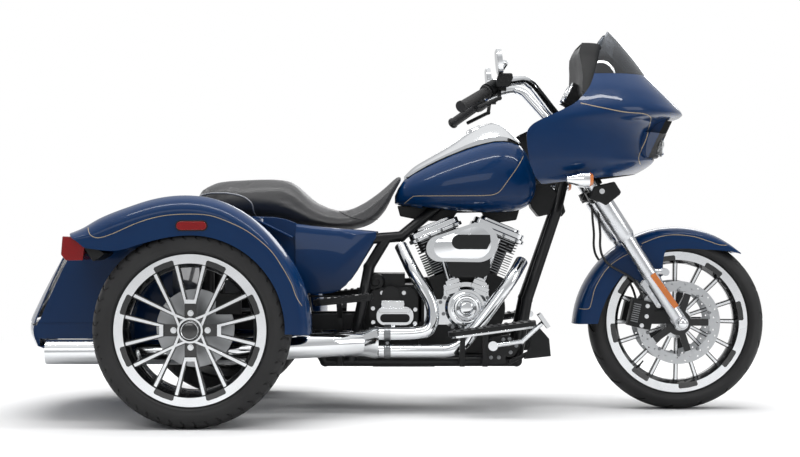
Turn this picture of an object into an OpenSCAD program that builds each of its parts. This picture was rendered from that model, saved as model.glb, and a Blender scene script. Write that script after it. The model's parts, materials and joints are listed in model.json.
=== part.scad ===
// Three-wheeled touring motorcycle: one raked front wheel, an air-cooled V-twin,
// a fairing fixed to the frame, a two-up seat, covered rear wheels and a trunk.
// Millimetres. +X points forward, +Y to the rider's left, +Z up, ground at z = 0.

/* [Layout] */
// Rear axle to front axle
wheelbase = 1695; // [1670:5:1740]
// Rear axle to the rearmost point of the trunk
rear_overhang = 640; // [625:5:670]
// Between the middle planes of the two rear wheels
rear_track = 1160; // [1150:2:1190]

/* [Front wheel] */
// Outer radius of the front tyre
front_tyre_r = 319; // [312:1:324]
// Width of the front tyre
front_tyre_w = 130; // [110:1:136]
// Outer radius of the front rim flange
front_rim_r = 256; // [240:1:262]
// Width of the front rim over its flanges
front_rim_w = 92; // [80:1:100]
// Outer radius of the front brake discs
front_disc_r = 150; // [130:1:160]
// Radius of the front axle
front_axle_r = 12.5; // [10:0.5:15]

/* [Rear wheels] */
// Outer radius of the rear tyres
rear_tyre_r = 325; // [318:1:328]
// Width of the rear tyres
rear_tyre_w = 215; // [195:1:219]
// Outer radius of the rear rim flange
rear_rim_r = 250; // [235:1:256]
// Width of the rear rim over its flanges
rear_rim_w = 190; // [170:1:194]
// Outer radius of the rear brake discs
rear_disc_r = 131; // [120:1:140]
// Radius of the rear axle tube
axle_tube_r = 32; // [26:1:34]

/* [Wheel spokes] */
// Pairs of spokes in the front wheel
spoke_pairs = 8; // [6:1:9]
// Width of one spoke
spoke_w = 13; // [9:0.5:16]

/* [Steering] */
// Rake of the steering head from the vertical, degrees
head_angle = 26; // [25:0.5:27]
// Rake of the fork legs from the vertical, degrees
fork_angle = 32.5; // [31.5:0.5:33.5]
// Ground trail of the steering axis ahead of the tyre contact
trail = 100; // [95:1:106]
// Between the two fork legs
fork_spacing = 250; // [246:2:262]
// Radius of the lower fork leg
slider_r = 27; // [24:0.5:28]
// Radius of the fork cover tube
cover_r = 34; // [31:0.5:36]
// Radius of the handlebar tube
bar_r = 17; // [14:0.5:18]

/* [Engine] */
// Angle between the two cylinders, degrees
v_angle = 45; // [43:0.5:47]
// Crankshaft ahead of the rear axle
crank_x = 928; // [920:1:936]
// Crankshaft above the ground
crank_z = 372; // [366:1:374]
// Cooling fins on each cylinder
fin_count = 9; // [6:1:11]

/* [Exhaust] */
// Radius of the header pipes with their heat shields
header_r = 23; // [18:0.5:24]
// Radius of the mufflers
muffler_r = 43; // [36:0.5:44]
// Middle of each muffler from the middle plane
muffler_y = 398; // [390:1:404]

/* [Body] */
// Half width of the trunk tub
trunk_half = 404; // [398:1:408]
// Gap from the tyre's side to the fender's outer skin
fender_gap = 9; // [7:0.5:14]
// Thickness of the moulded body panels
panel_t = 5; // [3.5:0.5:6]
// Rearward bulge of the trunk at its middle
trunk_bulge = 70; // [40:2:80]
// Height of the deck under the passenger seat
deck_z = 694; // [690:1:696]

/* [Fits] */
// Radial running clearance of turning parts
run_fit = 0.05; // [0.02:0.01:0.1]
// Gap between parts that are bolted face to face
seat_gap = 0.4; // [0.2:0.1:0.6]

/* [Output] */
// Sub-part to show, or all

/* [Hidden] */
$fn = 48;

x_mid = (wheelbase + front_tyre_r - rear_overhang) / 2;
wheel_y = rear_track / 2;
fender_y = wheel_y + rear_tyre_w / 2 + fender_gap;
leg_y = fork_spacing / 2;

// Points, paths and surfaces
function unit(v) = v / norm(v);
function lerp(a, b, t) = a + (b - a) * t;
function spow(v, e) = sign(v) * pow(abs(v), e);
function sum(v) = v * [for (i = v) 1];
function flat(g) = [for (row = g) each row];
function spline(a, b, c, d, t) =
  0.5 * (2*b + (c - a)*t + (2*a - 5*b + 4*c - d)*t*t + (3*b - a - 3*c + d)*t*t*t);
// Rows of a table with k - 1 rows splined in between each two
function smooth(T, k) = let (n = len(T)) concat(
  [for (i = [0 : n - 2], j = [0 : k - 1])
    spline(T[max(i - 1, 0)], T[i], T[i + 1], T[min(i + 2, n - 1)], j / k)], [T[n - 1]]);
function volume6(p, f) = sum([for (t = f) cross(p[t[0]], p[t[1]]) * p[t[2]]]);
function oriented(p, f) =
  volume6(p, f) > 0 ? [for (t = f) [t[2], t[1], t[0]]] : f;
function grid_normal(g, i, j) = let (m = len(g) - 1, n = len(g[0]) - 1) unit(cross(
  g[min(i + 1, m)][j] - g[max(i - 1, 0)][j], g[i][min(j + 1, n)] - g[i][max(j - 1, 0)]));
// A grid moved along its normals
function shifted(g, d) = [for (i = [0 : len(g) - 1]) [for (j = [0 : len(g[0]) - 1])
  g[i][j] + d * grid_normal(g, i, j)]];
// Straight path with its corners rounded over a distance d
function rounded(P, d, k) = let (n = len(P) - 1) concat([P[0]],
  [for (i = [1 : n - 1]) let (
      a = P[i] - min(d, 0.48 * norm(P[i] - P[i - 1])) * unit(P[i] - P[i - 1]),
      b = P[i] + min(d, 0.48 * norm(P[i + 1] - P[i])) * unit(P[i + 1] - P[i]))
    for (q = [0 : k]) let (t = q / k)
      (1 - t)*(1 - t)*a + 2*t*(1 - t)*P[i] + t*t*b], [P[n]]);

// Solid between two grids of the same size
module skin(a, b) {
  m = len(a);
  n = len(a[0]);
  o = m * n;
  p = concat(flat(a), flat(b));
  f = concat(
    [for (i = [0 : m - 2], j = [0 : n - 2]) let (k = i*n + j)
      each [[k, k + n, k + n + 1], [k, k + n + 1, k + 1],
        [o + k, o + k + n + 1, o + k + n], [o + k, o + k + 1, o + k + n + 1]]],
    [for (i = [0 : m - 2]) let (k = i*n, l = i*n + n - 1)
      each [[k + n, k, k + o], [k + n, k + o, k + n + o],
        [l, l + n, l + n + o], [l, l + n + o, l + o]]],
    [for (j = [0 : n - 2]) let (k = j, l = (m - 1)*n + j)
      each [[k, k + 1, k + 1 + o], [k, k + 1 + o, k + o],
        [l + 1, l, l + o], [l + 1, l + o, l + 1 + o]]]);
  polyhedron(p, oriented(p, f), convexity = 6);
}

// Panel of thickness t behind a grid
module sheet(g, t) { skin(g, shifted(g, -t)); }

// Solid through a list of closed rings
module loft(r) {
  m = len(r);
  n = len(r[0]);
  p = flat(r);
  f = concat(
    [for (i = [0 : m - 2], j = [0 : n - 1]) let (k = i*n + j, l = i*n + (j + 1) % n)
      each [[k, k + n, l + n], [k, l + n, l]]],
    [for (j = [1 : n - 2]) each [[0, j, j + 1], [(m - 1)*n, (m - 1)*n + j + 1, (m - 1)*n + j]]]);
  polyhedron(p, oriented(p, f), convexity = 6);
}

// Round tube of radius r along a path; no stretch of it runs along ref
module sweep(path, r, ref, sides = 14) {
  n = len(path) - 1;
  loft([for (i = [0 : n]) let (
      t = unit(path[min(i + 1, n)] - path[max(i - 1, 0)]),
      u = unit(cross(ref, t)), v = cross(t, u))
    [for (q = [0 : sides - 1]) path[i] + r*cos(360*q/sides)*u + r*sin(360*q/sides)*v]]);
}

module rod(a, b, r) {
  v = b - a;
  translate(a) rotate([0, acos(v[2] / norm(v)), atan2(v[1], v[0])]) cylinder(h = norm(v), r = r);
}

// Straight tubes end to end with a round knuckle at each corner
module chain(P, r) {
  for (i = [0 : len(P) - 2]) rod(P[i], P[i + 1], r);
  for (i = [1 : len(P) - 2]) translate(P[i]) sphere(r = r + 1.5);
}

module both_sides() { for (s = [0, 1]) mirror([0, s, 0]) children(); }

// Turned about the world's Y, local z pointing to the right side
module across(x, y, z) { translate([x, y, z]) rotate([90, 0, 0]) children(); }

// Places
// Room round each brake disc in its caliper
disc_gap = 5.5;
front_axle = [wheelbase, 0, front_tyre_r];
rear_z = rear_tyre_r;
function axis_x(z) = wheelbase + trail - z * tan(head_angle);
function leg_x(z) = wheelbase - (z - front_tyre_r) * tan(fork_angle);
module on_steering_axis() { translate([wheelbase + trail, 0, 0]) rotate([0, -head_angle, 0]) children(); }
// Along the steering axis: the two clamps and the head tube between them
lower_clamp_h = 880;
clamp_spread = 218;
upper_clamp_h = lower_clamp_h + clamp_spread;
clamp_t = 34;
head_gap = 6;
// Heights of the two clamps over the ground
lower_clamp_z = lower_clamp_h * cos(head_angle);
upper_clamp_z = upper_clamp_h * cos(head_angle);
stem_r = 15;
head_r = 33;
tube_r = 24.5;
frame_r = 19;
rail_y = 182;
rail_z = 665;
low_rail_y = 150;
low_rail_z = 185;

// FRAME
module steering_head() color("#1c1d1f")
  on_steering_axis() difference() {
    translate([0, 0, lower_clamp_h + clamp_t/2 + head_gap])
      cylinder(h = upper_clamp_h - lower_clamp_h - clamp_t - 2*head_gap, r = head_r);
    translate([0, 0, lower_clamp_h]) cylinder(h = clamp_spread, r = stem_r + run_fit);
  }

// Where the down tubes meet the neck
neck_z = lower_clamp_z + 75;
neck_x = axis_x(neck_z) - 80.5;
// Tubes of one side: each row is a run of corner points
side_runs = [
  [[neck_x, 20, neck_z], [neck_x - 38, 58, 716], [1146, 96, 402], [1104, low_rail_y, low_rail_z],
   [420, low_rail_y, low_rail_z], [340, 192, 330], [300, 192, 600]],
  [[860, 24, 768], [690, 100, 630], [300, 192, 600], [168, rail_y, rail_z], [-92, rail_y, rail_z]],
  [[640, 112, 627], [575, 126, 520], [556, 180, 412], [510, 180, 190]]];
module frame() color("#1c1d1f") difference() {
  union() {
    rod([axis_x(neck_z + 24) - 20, 0, neck_z + 24], [860, 0, 768], frame_r);
    rod([axis_x(neck_z + 74) - 20, 0, neck_z + 74], [neck_x - 57, 0, neck_z - 11], 12);
    // Tank post on the backbone
    translate([1000, 0, 800]) cylinder(h = tunnel_z(1000 - 12) - seat_gap - 800, r = 12);
    both_sides() for (run = side_runs) chain(run, frame_r);
    for (x = [1090, 640]) rod([x, -low_rail_y, low_rail_z], [x, low_rail_y, low_rail_z], frame_r - 3);
    rod([300, -192, 600], [300, 192, 600], frame_r - 3);
    rod([690, -100, 630], [690, 100, 630], frame_r - 3);
    translate([jack_x - 110, -low_rail_y - 10, low_rail_z - frame_r - 1]) cube([220, 2*low_rail_y + 20,
        10]);
    both_sides() translate([60, rail_y, rail_z]) cylinder(h = deck_z - panel_t - rail_z, r = 14);
    // Pedal plates
    both_sides() across(0, plate_y, 0) linear_extrude(14) polygon([[pedal_x - 17, low_rail_z - 8],
      [pedal_x - 17, pedal_z], [pedal_x - 2, pedal_z + 26], [pedal_x + 60, pedal_z + 34], [pedal_x + 104,
          pedal_z - 2],
      [pedal_x + 80, low_rail_z + 20], [pedal_x + 50, low_rail_z + 20], [pedal_x + 46, low_rail_z - 8]]);
    both_sides() {
      chain([[axis_x(neck_z + 14) + 12, 20, neck_z + 14], bracket_knee, fairing_pad - pad_normal * 30], 12);
      rod(fairing_pad - pad_normal * 34, fairing_pad, 6);
    }
    both_sides() rod(bracket_knee, [wheelbase - 280, 60, dash_z - 5.2], 10);
  }
  on_steering_axis() translate([0, 0, lower_clamp_h - 180]) cylinder(h = clamp_spread + 382,
      r = head_r + seat_gap);
}
jack_x = 700;
// Corner of the bracket that carries the fairing and the dash
bracket_knee = [wheelbase - 195, 34, 905];
module in_place() { translate([-x_mid, 0, 0]) children(); }

// ENGINE
deck_d = 150;
head_d = 243;
cover_d = 286;
cover_h = 46;
fin_t = 3;
module cylinder_axis(s) { translate([crank_x, 0, crank_z]) rotate([0, s * v_angle / 2, 0]) children(); }
case_half = 108;
module crankcase() color("#2a2b2d") difference() {
  across(crank_x, case_half, crank_z) linear_extrude(2 * case_half) {
    circle(r = 138);
    for (s = [-1, 1]) rotate(-s * v_angle / 2) translate([s > 0 ? -40 : -88, 0]) square([128, deck_d]);
    translate([-175, -160]) square([300, 110]);
    translate([-165, -90]) square([70, 120]);
  }
}

module cylinders() color("#2b2c2e")
  for (s = [-1, 1]) cylinder_axis(s) {
    translate([0, 0, deck_d + seat_gap/4]) cylinder(h = head_d - deck_d - seat_gap/4, r = 62);
    for (i = [0 : fin_count - 1])
      translate([0, 0, deck_d + 8 + i * (head_d - deck_d - 12) / fin_count]) fin(fin_t);
    for (i = [0 : 4])
      translate([0, 0, head_d + i * (cover_d - head_d) / 4 - (i == 4 ? fin_t : 0)]) fin(fin_t);
    translate([-75, -68, head_d]) cube([150, 136, cover_d - head_d]);
  }
module fin(t) linear_extrude(t) intersection() {
  square([172, 176], center = true);
  circle(r = 108);
}

module rocker_covers() color("#d8dadc")
  for (s = [-1, 1]) cylinder_axis(s) translate([0, 0, cover_d + seat_gap/2]) {
    linear_extrude(14) rounded_plate(204, 172, 26);
    translate([0, 0, 14]) linear_extrude(cover_h - 26) rounded_plate(190, 158, 26);
    translate([0, 0, cover_h - 12]) linear_extrude(12) rounded_plate(150, 118, 26);
  }
module rounded_plate(a, b, r) {
  square([a - 2*r, b], center = true);
  square([a, b - 2*r], center = true);
  for (i = [-1, 1], j = [-1, 1]) translate([i * (a/2 - r), j * (b/2 - r)]) circle(r = r);
}

cam_c = [crank_x - 4, crank_z + 3];
module cam_cover() color("#d8dadc") {
  across(cam_c[0], -case_half - seat_gap/2, cam_c[1]) {
    linear_extrude(34) {
      circle(r = 92);
      translate([-80, 0]) square([160, 82]);
      translate([-150, -60]) square([120, 90]);
    }
    translate([0, 0, 34]) cylinder(h = 20, r1 = 76, r2 = 66);
    translate([0, 0, 54]) cylinder(h = 12, r = 58);
  }
  // Lifter blocks and pushrod tubes of each cylinder
  for (s = [-1, 1]) {
    across(cam_c[0] + s * 46, -case_half - 4, cam_c[1] + 84) cylinder(h = 42, r = 24);
    for (q = [-1, 1]) rod([cam_c[0] + s * (46 + 12*q), -case_half - 24, cam_c[1] + 88],
      [crank_x + s * (96 + 16*q), -case_half - 8, crank_z + 255 - s*q*5], 10);
  }
}

// Air cleaner: teardrop cover on a round throat between the cylinders
air_z = 606;
air_x = crank_x - 16;
module air_cleaner() color("#d8dadc") {
  across(air_x, -150, air_z) linear_extrude(72) teardrop(1);
  across(air_x, -222, air_z) linear_extrude(12) teardrop(0.92);
  across(air_x, -234, air_z) linear_extrude(9) teardrop(0.8);
  across(air_x + 20, -158, air_z - 78) linear_extrude(52) rounded_plate(150, 84, 30);
  across(crank_x, -88 - seat_gap, 560) cylinder(h = 66, r = 34);
}
module teardrop(k) scale(k) {
  translate([52, 4]) circle(r = 70);
  translate([-86, -18]) circle(r = 46);
  polygon([[-97.1, 26.7], [35.3, 72], [52, 4], [54, -66], [-88, -63.9], [-86, -18]]);
}

gear_c = [665, 372];
module gearbox() color("#3a3b3d") {
  across(gear_c[0], 104, gear_c[1]) linear_extrude(208) {
    translate([-105, -92]) square([192, 176]);
    translate([-80, 84]) square([120, 40]);
  }
  across(gear_c[0], -104, gear_c[1]) {
    linear_extrude(26) rounded_plate(176, 150, 40);
    translate([4, -26, 26]) linear_extrude(20) rounded_plate(132, 66, 30);
    translate([-10, 46, 26]) cylinder(h = 14, r = 34);
  }
  // Oil pan below
  translate([470, -100, 206]) cube([crank_x - 175 - seat_gap - 470, 200, 280 - 206]);
}

module primary_cover() color("#1f2022") {
  difference() {
    across(0, case_half + 72, 0) linear_extrude(71.6) primary_outline(0);
    // Room for the belt and its front pulley
    across(0, belt_y + 22, 0) linear_extrude(90) belt_outline(12);
  }
  across(0, case_half + 90, 0) linear_extrude(18) primary_outline(14);
  across(crank_x - 238, case_half + 99, crank_z - 22) cylinder(h = 9, r = 62);
}
module primary_outline(k) {
  translate([crank_x, crank_z]) circle(r = 112 - k);
  translate([crank_x - 238, crank_z - 22]) circle(r = 122 - k);
  polygon([[crank_x, crank_z + 112 - k], [crank_x - 238, crank_z + 100 - k],
    [crank_x - 238, crank_z - 144 + k], [crank_x, crank_z - 112 + k]]);
}

// EXHAUST
junction_x = 612;
rear_header = [[690, -126, 596], [735, -200, 500], [806, -214, 390], [800, -224, 300],
  [740, -226, 286], [junction_x, -226, 286]];
front_header = [[1124, -120, 540], [1085, -190, 480], [965, -216, 318], [890, -222, 226],
  [790, -226, 226], [junction_x, -226, 226]];
module exhaust_headers() color("#d8dadc") {
  sweep(rounded(rear_header, 60, 4), header_r, [0, 1, 0], 12);
  sweep(rounded(front_header, 70, 4), header_r, [0, 1, 0], 12);
}

muffler_path = [[540, -muffler_y + 106, 258], [430, -muffler_y + 30, 258], [300, -muffler_y, 254], [110,
    -muffler_y, 236], [-525, -muffler_y, 236]];
module mufflers() color("#d8dadc") both_sides() difference() {
  union() {
    sweep(rounded(muffler_path, 70, 3), muffler_r, [0, 0, 1], 20);
    loft([for (q = [[junction_x - seat_gap, 0, -226, 24, 54], [600, 0, -232, 26, 56], [565, 0, -262, 36,
        48], [520, 0, -304, 42, 43]])
      [for (a = [0 : 18 : 342]) [q[0], q[2] + q[3]*cos(a), 257 + q[4]*sin(a)]]]);
  }
  // Slash-cut outlet
  translate([-560, -muffler_y - 60, 120]) rotate([0, -28, 0]) translate([-80, 0, -40]) cube([90, 120, 220]);
  translate([-600, -muffler_y, 236]) rotate([0, 90, 0]) cylinder(h = 190, r = muffler_r - 8);
}

// TANK AND SEAT
// Columns: x, bottom z, top z, half width
tank_rows = [[668, 748, 778, 40], [702, 740, 838, 88], [780, 728, 888, 128], [880, 718, 936, 158],
  [980, 712, 972, 173], [1060, 712, 985, 175], [1120, 720, 968, 165], [1160, 746, 915, 140],
  [1178, 790, 862, 105]];
tank_fine = smooth(tank_rows, 2);
// Roof of the tunnel over the backbone
function tunnel_z(x) = 800 + (x - 860) * 0.2386;
function tank_point(r, a) = let (zc = lerp(r[1], r[2], 0.4))
  [r[0], r[3] * spow(cos(a), 0.8),
   zc + (sin(a) >= 0 ? (r[2] - zc) * sin(a) : (r[1] - zc) * pow(-sin(a), 0.55))];
module fuel_tank() color("#17406d") difference() {
  loft([for (r = tank_fine) [for (a = [0 : 10 : 350]) tank_point(r, a)]]);
  translate([768, -90, 600]) cube([392, 180, 160]);
  across(0, 52, 0) linear_extrude(104) polygon([[712, 600], [1300, 600], [1300, tunnel_z(1300)], [860,
      tunnel_z(860)], [712, 780]]);
}

// Console: columns are the height over the tank along its length
console_h = [6, 14, 16, 20, 28, 44, 56, 58, 46, 24, 8];
module tank_console() color("#d8dadc") {
  base = [for (i = [2 : 12]) [for (a = [70 : 10 : 110]) tank_point(tank_fine[i], a)]];
  low = shifted(base, -seat_gap);
  skin([for (i = [0 : 10]) [for (j = [0 : 4])
    low[i][j] + [0, 0, 5 + console_h[i] * (1 - pow(abs(j - 2) / 2.3, 2))]]], low);
}

// Columns: x, bottom z, top z, half width
seat_rows = [[-52, 735, 778, 70], [-34, 708, 806, 118], [30, 701, 826, 148], [120, 701, 833, 158],
  [225, 694, 836, 164], [292, 676, 826, 170], [336, 660, 792, 178], [385, 652, 750, 186],
  [466, 650, 721, 190], [530, 654, 735, 184], [590, 676, 771, 160], [636, 722, 808, 118],
  [664, 778, 834, 84], [696, 836, 860, 50]];
function seat_point(r, a) = let (zc = lerp(r[1], r[2], 0.5))
  [r[0], r[3] * spow(cos(a), 0.62), zc + (r[2] - r[1]) / 2 * spow(sin(a), 0.62)];
module seat() color("#202124")
  loft([for (r = smooth(seat_rows, 2)) [for (a = [0 : 15 : 345]) seat_point(r, a)]]);

// REAR BODY
deck_back = -50;
module rear_deck() color("#17406d") {
  across(0, trunk_half, 0) linear_extrude(2 * trunk_half) polygon([[deck_back, deck_z], [190, deck_z],
    [318, 632], [318, 626], [312, 626], [186, deck_z - panel_t], [deck_back, deck_z - panel_t]]);
  translate([85, 0, deck_z - 1]) cylinder(h = 701 - seat_gap - deck_z + 1, r = 22);
}

// Rear fender: columns are the angle about the axle from straight ahead, the
// radius of the arch edge, of the crown and of the inner flange
fender_rows = [[-2, 312, 395, 372], [20, 312, 398, 374], [40, 312, 402, 374], [60, 312, 418, 380],
  [80, 312, 438, 396], [100, 312, 447, 404], [117, 322, 456, 404], [130, 345, 478, 412],
  [137, 385, 492, 424], [141.5, 436, 512, 440]];
flange_y = trunk_half + seat_gap;
// Across the section: share of the way from arch edge to crown, or to the flange's
// edge for the last two, and share of the width
function fender_point(r, q) = let (w = fender_y - flange_y, c = r[2], e = r[1])
  q <= 2 ? polar(r[0], lerp(e, c, q * 0.28), fender_y)
  : q <= 7 ? let (b = (q - 2) * 18) polar(r[0], lerp(e, c, 0.56) + (c - lerp(e, c, 0.56)) * sin(b),
      fender_y - 90 * (1 - cos(b)))
  : q <= 9 ? polar(r[0], c - (q - 7) * (q - 7) * 4, lerp(fender_y - 90, flange_y + 24, (q - 7) / 2))
  : q == 10 ? polar(r[0], c - 24, flange_y + 7)
  : q == 11 ? polar(r[0], c - 36, flange_y)
  : polar(r[0], lerp(r[2] - 36, min(r[3], r[2] - 60), 1), flange_y);
function polar(a, r, y) = [r * cos(a), -y, rear_z + r * sin(a)];
fender_grid = [for (r = smooth(fender_rows, 2)) [for (q = [0 : 12]) fender_point(r, q)]];
module rear_fender_right() color("#17406d") skin(fender_grid, shifted(fender_grid, panel_t));
module rear_fender_left() color("#17406d") mirror([0, 1, 0]) skin(fender_grid, shifted(fender_grid,
    panel_t));

// Side covers: columns are x, top z, bottom z
cover_rows = [[322, 676, 440], [380, 668, 432], [450, 661, 434], [500, 657, 462], [550, 653, 540], [604,
    648, 628]];
cover_y = 300;
module side_covers() color("#17406d") both_sides() {
  g = [for (r = smooth(cover_rows, 2)) [for (q = [[0, 64], [0, 30], [0.04, 10], [0.12, 0], [0.4, 0],
      [0.75, 0], [1, 6]])
    [r[0], cover_y - q[1], lerp(r[1], r[2], q[0])]]];
  sheet(g, panel_t);
  for (x = [345, 420]) let (t = (690 - x) / 390)
    rod([x, 100 + 92*t + frame_r + 3, 626 - 30*t], [x, cover_y - panel_t + 2, 626 - 30*t], 8);
}

// Trunk: columns are x and z of the skin at its corners, and the share of the bulge
trunk_rows = [[-82, 698, 0], [-200, 695, 0], [-320, 680, 0.08], [-400, 648, 0.25], [-452, 590, 0.5],
  [-484, 530, 0.7], [-530, 430, 0.9], [-563, 352, 1], [-569, 334, 1]];
rear_corner = rear_overhang - trunk_bulge;
function trunk_point(r, s, half) = [r[0] * rear_corner / 570
  - trunk_bulge * r[2] * (1 - s*s), s * half, r[1] + 14 * (1 - s*s) * (1 - r[2])];
lid_half = trunk_half - 8;
lid_cols = [-1, -0.94, -0.8, -0.6, -0.4, -0.2, 0, 0.2, 0.4, 0.6, 0.8, 0.94, 1];
hinge = [-72, 686];
hinge_y = 240;
module trunk_lid() color("#17406d") {
  g = [for (r = smooth(trunk_rows, 2)) [for (s = lid_cols) trunk_point(r, s, lid_half)]];
  sheet(g, -panel_t);
  both_sides() difference() {
    union() {
      across(hinge[0], hinge_y + 8, hinge[1]) cylinder(h = 16, r = 8);
      translate([hinge[0] - 50, hinge_y - 8, hinge[1]]) cube([50, 16, 7.5]);
      translate([hinge[0] - 50, hinge_y - 8, hinge[1]]) cube([38, 16, 18]);
    }
    across(hinge[0], hinge_y + 10, hinge[1]) cylinder(h = 20, r = 4 + run_fit);
  }
}

tub_front = -92;
tub_floor = 336;
tub_outer = [[tub_front, tub_floor], [tub_front, 674], [-200, 678], [-316, 664], [-388, 634], [-436, 582],
  [-468, 522], [-514, 424], [-546, 350], [-556, tub_floor]];
tub_inner = [[tub_front - 5, tub_floor + 5], [tub_front - 5, 760], [-420, 760], [-420, 590], [-460, 518],
  [-507, 420], [-541, tub_floor + 5]];
// Columns of the rear lip under the lid: x, z
lip_rows = [[-rear_corner + 2, 326], [-rear_corner, 312], [-rear_corner + 2, 290], [-rear_corner + 16, 256],
  [-rear_corner + 42, 246]];
module trunk_body() color("#17406d") {
  difference() {
    across(0, trunk_half, 0) linear_extrude(2 * trunk_half) polygon(tub_outer);
    across(0, trunk_half - 6, 0) linear_extrude(2 * trunk_half - 12) polygon(tub_inner);
  }
  translate([-556, -trunk_half + 10, 300]) cube([20, 2*trunk_half - 20, 37]);
  g = [for (r = lip_rows) [for (s = lid_cols) [r[0] - trunk_bulge * (1 - s*s), s * trunk_half, r[1]]]];
  skin(g, [for (r = lip_rows) [for (s = lid_cols) [-548 + (r[1] < 250 ? 30 : 0)
      - 0.7 * trunk_bulge * (1 - s*s), s * (trunk_half - 4), r[1] + (r[1] < 250 ? 8 : 0)]]]);
  // Hinge lugs and pins
  both_sides() {
    for (k = [-1, 1]) across(hinge[0], hinge_y + k * 16 + 2.5, hinge[1]) linear_extrude(5) {
      circle(r = 8);
      translate([tub_front - hinge[0] - 3, -30]) square([-tub_front + hinge[0] + 3, 30]);
    }
    across(hinge[0], hinge_y + 18, hinge[1]) cylinder(h = 36, r = 4);
  }
}

// Lamps on the fenders
lamp_line = [polar(fender_rows[9][0], fender_rows[9][1] + 6, 0), polar(fender_rows[9][0],
    fender_rows[9][2] - 20.5, 0)];
module tail_lamps() color("#b5171c") both_sides()
  across(-seat_gap, fender_y - 30, -seat_gap) linear_extrude(206) polygon([[lamp_line[0][0],
      lamp_line[0][2]],
    [lamp_line[1][0], lamp_line[1][2]], [-418, 634], [-423, 574], [-408, 555], [-352, 555]]);
module side_markers() color("#b5171c") both_sides()
  translate([8, fender_y + seat_gap/2, 668]) rotate([-90, 0, 0]) linear_extrude(6) {
    square([70, 28], center = true);
    for (s = [-1, 1]) translate([s * 35, 0]) circle(r = 14);
  }

// RUNNING GEAR
spindle_r = 20;
spindle_in = wheel_y - 84;
module rear_axle() color("#242527") {
  rod([0, -spindle_in, rear_z], [0, spindle_in, rear_z], axle_tube_r);
  across(0, 74, rear_z) cylinder(h = 148, r = 80);
  translate([-45, -35, rear_z - 85]) cube([90, 70, 30]);
  both_sides() {
    across(0, spindle_in + 2, rear_z) cylinder(h = 10, r = 58);
    across(0, wheel_y + 60, rear_z) cylinder(h = wheel_y + 60 - spindle_in, r = spindle_r);
  }
}

module swingarm() color("#242527") both_sides()
  across(0, 112, 0) linear_extrude(24) difference() {
    union() {
      translate([0, rear_z]) circle(r = 52);
      translate([0, rear_z - 30]) square([gear_c[0] - 105 - seat_gap/2, 56]);
    }
    translate([0, rear_z]) circle(r = axle_tube_r + seat_gap/2);
  }

module rear_shocks() color("#2e2f31") both_sides() {
  z0 = rear_z + axle_tube_r + seat_gap;
  translate([0, rail_y, z0]) cylinder(h = 40, r = 20);
  translate([0, rail_y, z0 + 40]) cylinder(h = 130, r = 27);
  translate([0, rail_y, z0 + 170]) cylinder(h = rail_z - frame_r - seat_gap - z0 - 170, r = 22);
}

rear_disc_y = wheel_y - 62;
module rear_calipers() color("#1a1b1c") both_sides() difference() {
  union() {
    translate([70, rear_disc_y - 20, rear_z + 46]) cube([84, 40, 70]);
    translate([40, spindle_in - 8, rear_z + 20]) cube([60, 14, 60]);
    translate([70, spindle_in - 8, rear_z + 46]) cube([60, rear_disc_y - spindle_in, 40]);
  }
  across(0, rear_disc_y + 3 + disc_gap, rear_z) cylinder(h = 6 + 2*disc_gap, r = rear_disc_r + disc_gap);
  across(0, rear_disc_y + 60, rear_z) cylinder(h = 120, r = 59);
}

belt_y = 136;
front_pulley = [gear_c[0] - 62, 352, 52];
rear_pulley = [0, rear_z, 80];
module drive_belt() color("#161719") {
  across(0, belt_y + 13, 0) linear_extrude(26) difference() {
    belt_outline(4);
    belt_outline(-2);
  }
  across(front_pulley[0], belt_y + 11, front_pulley[1]) cylinder(h = belt_y + 11 - 104 - seat_gap/2,
      r = 30);
  across(front_pulley[0], belt_y + 15, front_pulley[1]) cylinder(h = 30, r = front_pulley[2]);
  difference() {
    union() {
      across(0, belt_y + 15, rear_z) cylinder(h = 30, r = rear_pulley[2]);
      across(0, belt_y, rear_z) cylinder(h = belt_y - 112 - seat_gap, r = 50);
    }
    across(0, 300, rear_z) cylinder(h = 300, r = axle_tube_r + seat_gap/2);
  }
}
// Loop round both pulleys, k outside their rims
belt_tilt = atan2(front_pulley[1] - rear_pulley[1], front_pulley[0] - rear_pulley[0]);
module belt_outline(k) polygon([for (w = [[front_pulley, -90], [rear_pulley, 90]], i = [0 : 12])
  let (a = belt_tilt + w[1] + 15 * i) [w[0][0] + (w[0][2] + k) * cos(a), w[0][1] + (w[0][2] + k)
      * sin(a)]]);

// RIDER'S CONTROLS
board_tilt = 7.6;
board_c = [1006, 336, 312];
// Flat arm that carries a footboard on the lower rail
bracket_y = low_rail_y + frame_r + seat_gap;
module bracket(x, outline) { translate([x - 9, 0, 0]) rotate([90, 0, 90]) linear_extrude(18)
    polygon(outline); }
module rider_footboards() color("#1d1e20") both_sides() {
  translate(board_c) rotate([0, -board_tilt, 0]) {
    linear_extrude(16, center = true) rounded_plate(306, 112, 40);
    translate([0, 0, -14]) linear_extrude(7) rounded_plate(292, 120, 40);
  }
  for (x = [905, 985]) let (z = board_c[2] + (x - board_c[0]) * tan(board_tilt) - 7)
    bracket(x, [[bracket_y, low_rail_z - 11], [272, low_rail_z - 11], [330, z], [304, z], [258,
        low_rail_z + 11],
      [bracket_y, low_rail_z + 11]]);
}
module passenger_footboards() color("#1d1e20") both_sides() {
  translate([490, 350, 414]) rotate([0, -6, 0]) {
    linear_extrude(16, center = true) rounded_plate(208, 84, 30);
    translate([0, 0, -13]) linear_extrude(6) rounded_plate(198, 90, 30);
  }
  bracket(475, [[bracket_y, low_rail_z - 11], [228, low_rail_z - 11], [246, 344], [352, 409], [318, 409],
      [228, 356],
    [212, low_rail_z + 11], [bracket_y, low_rail_z + 11]]);
}
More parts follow.
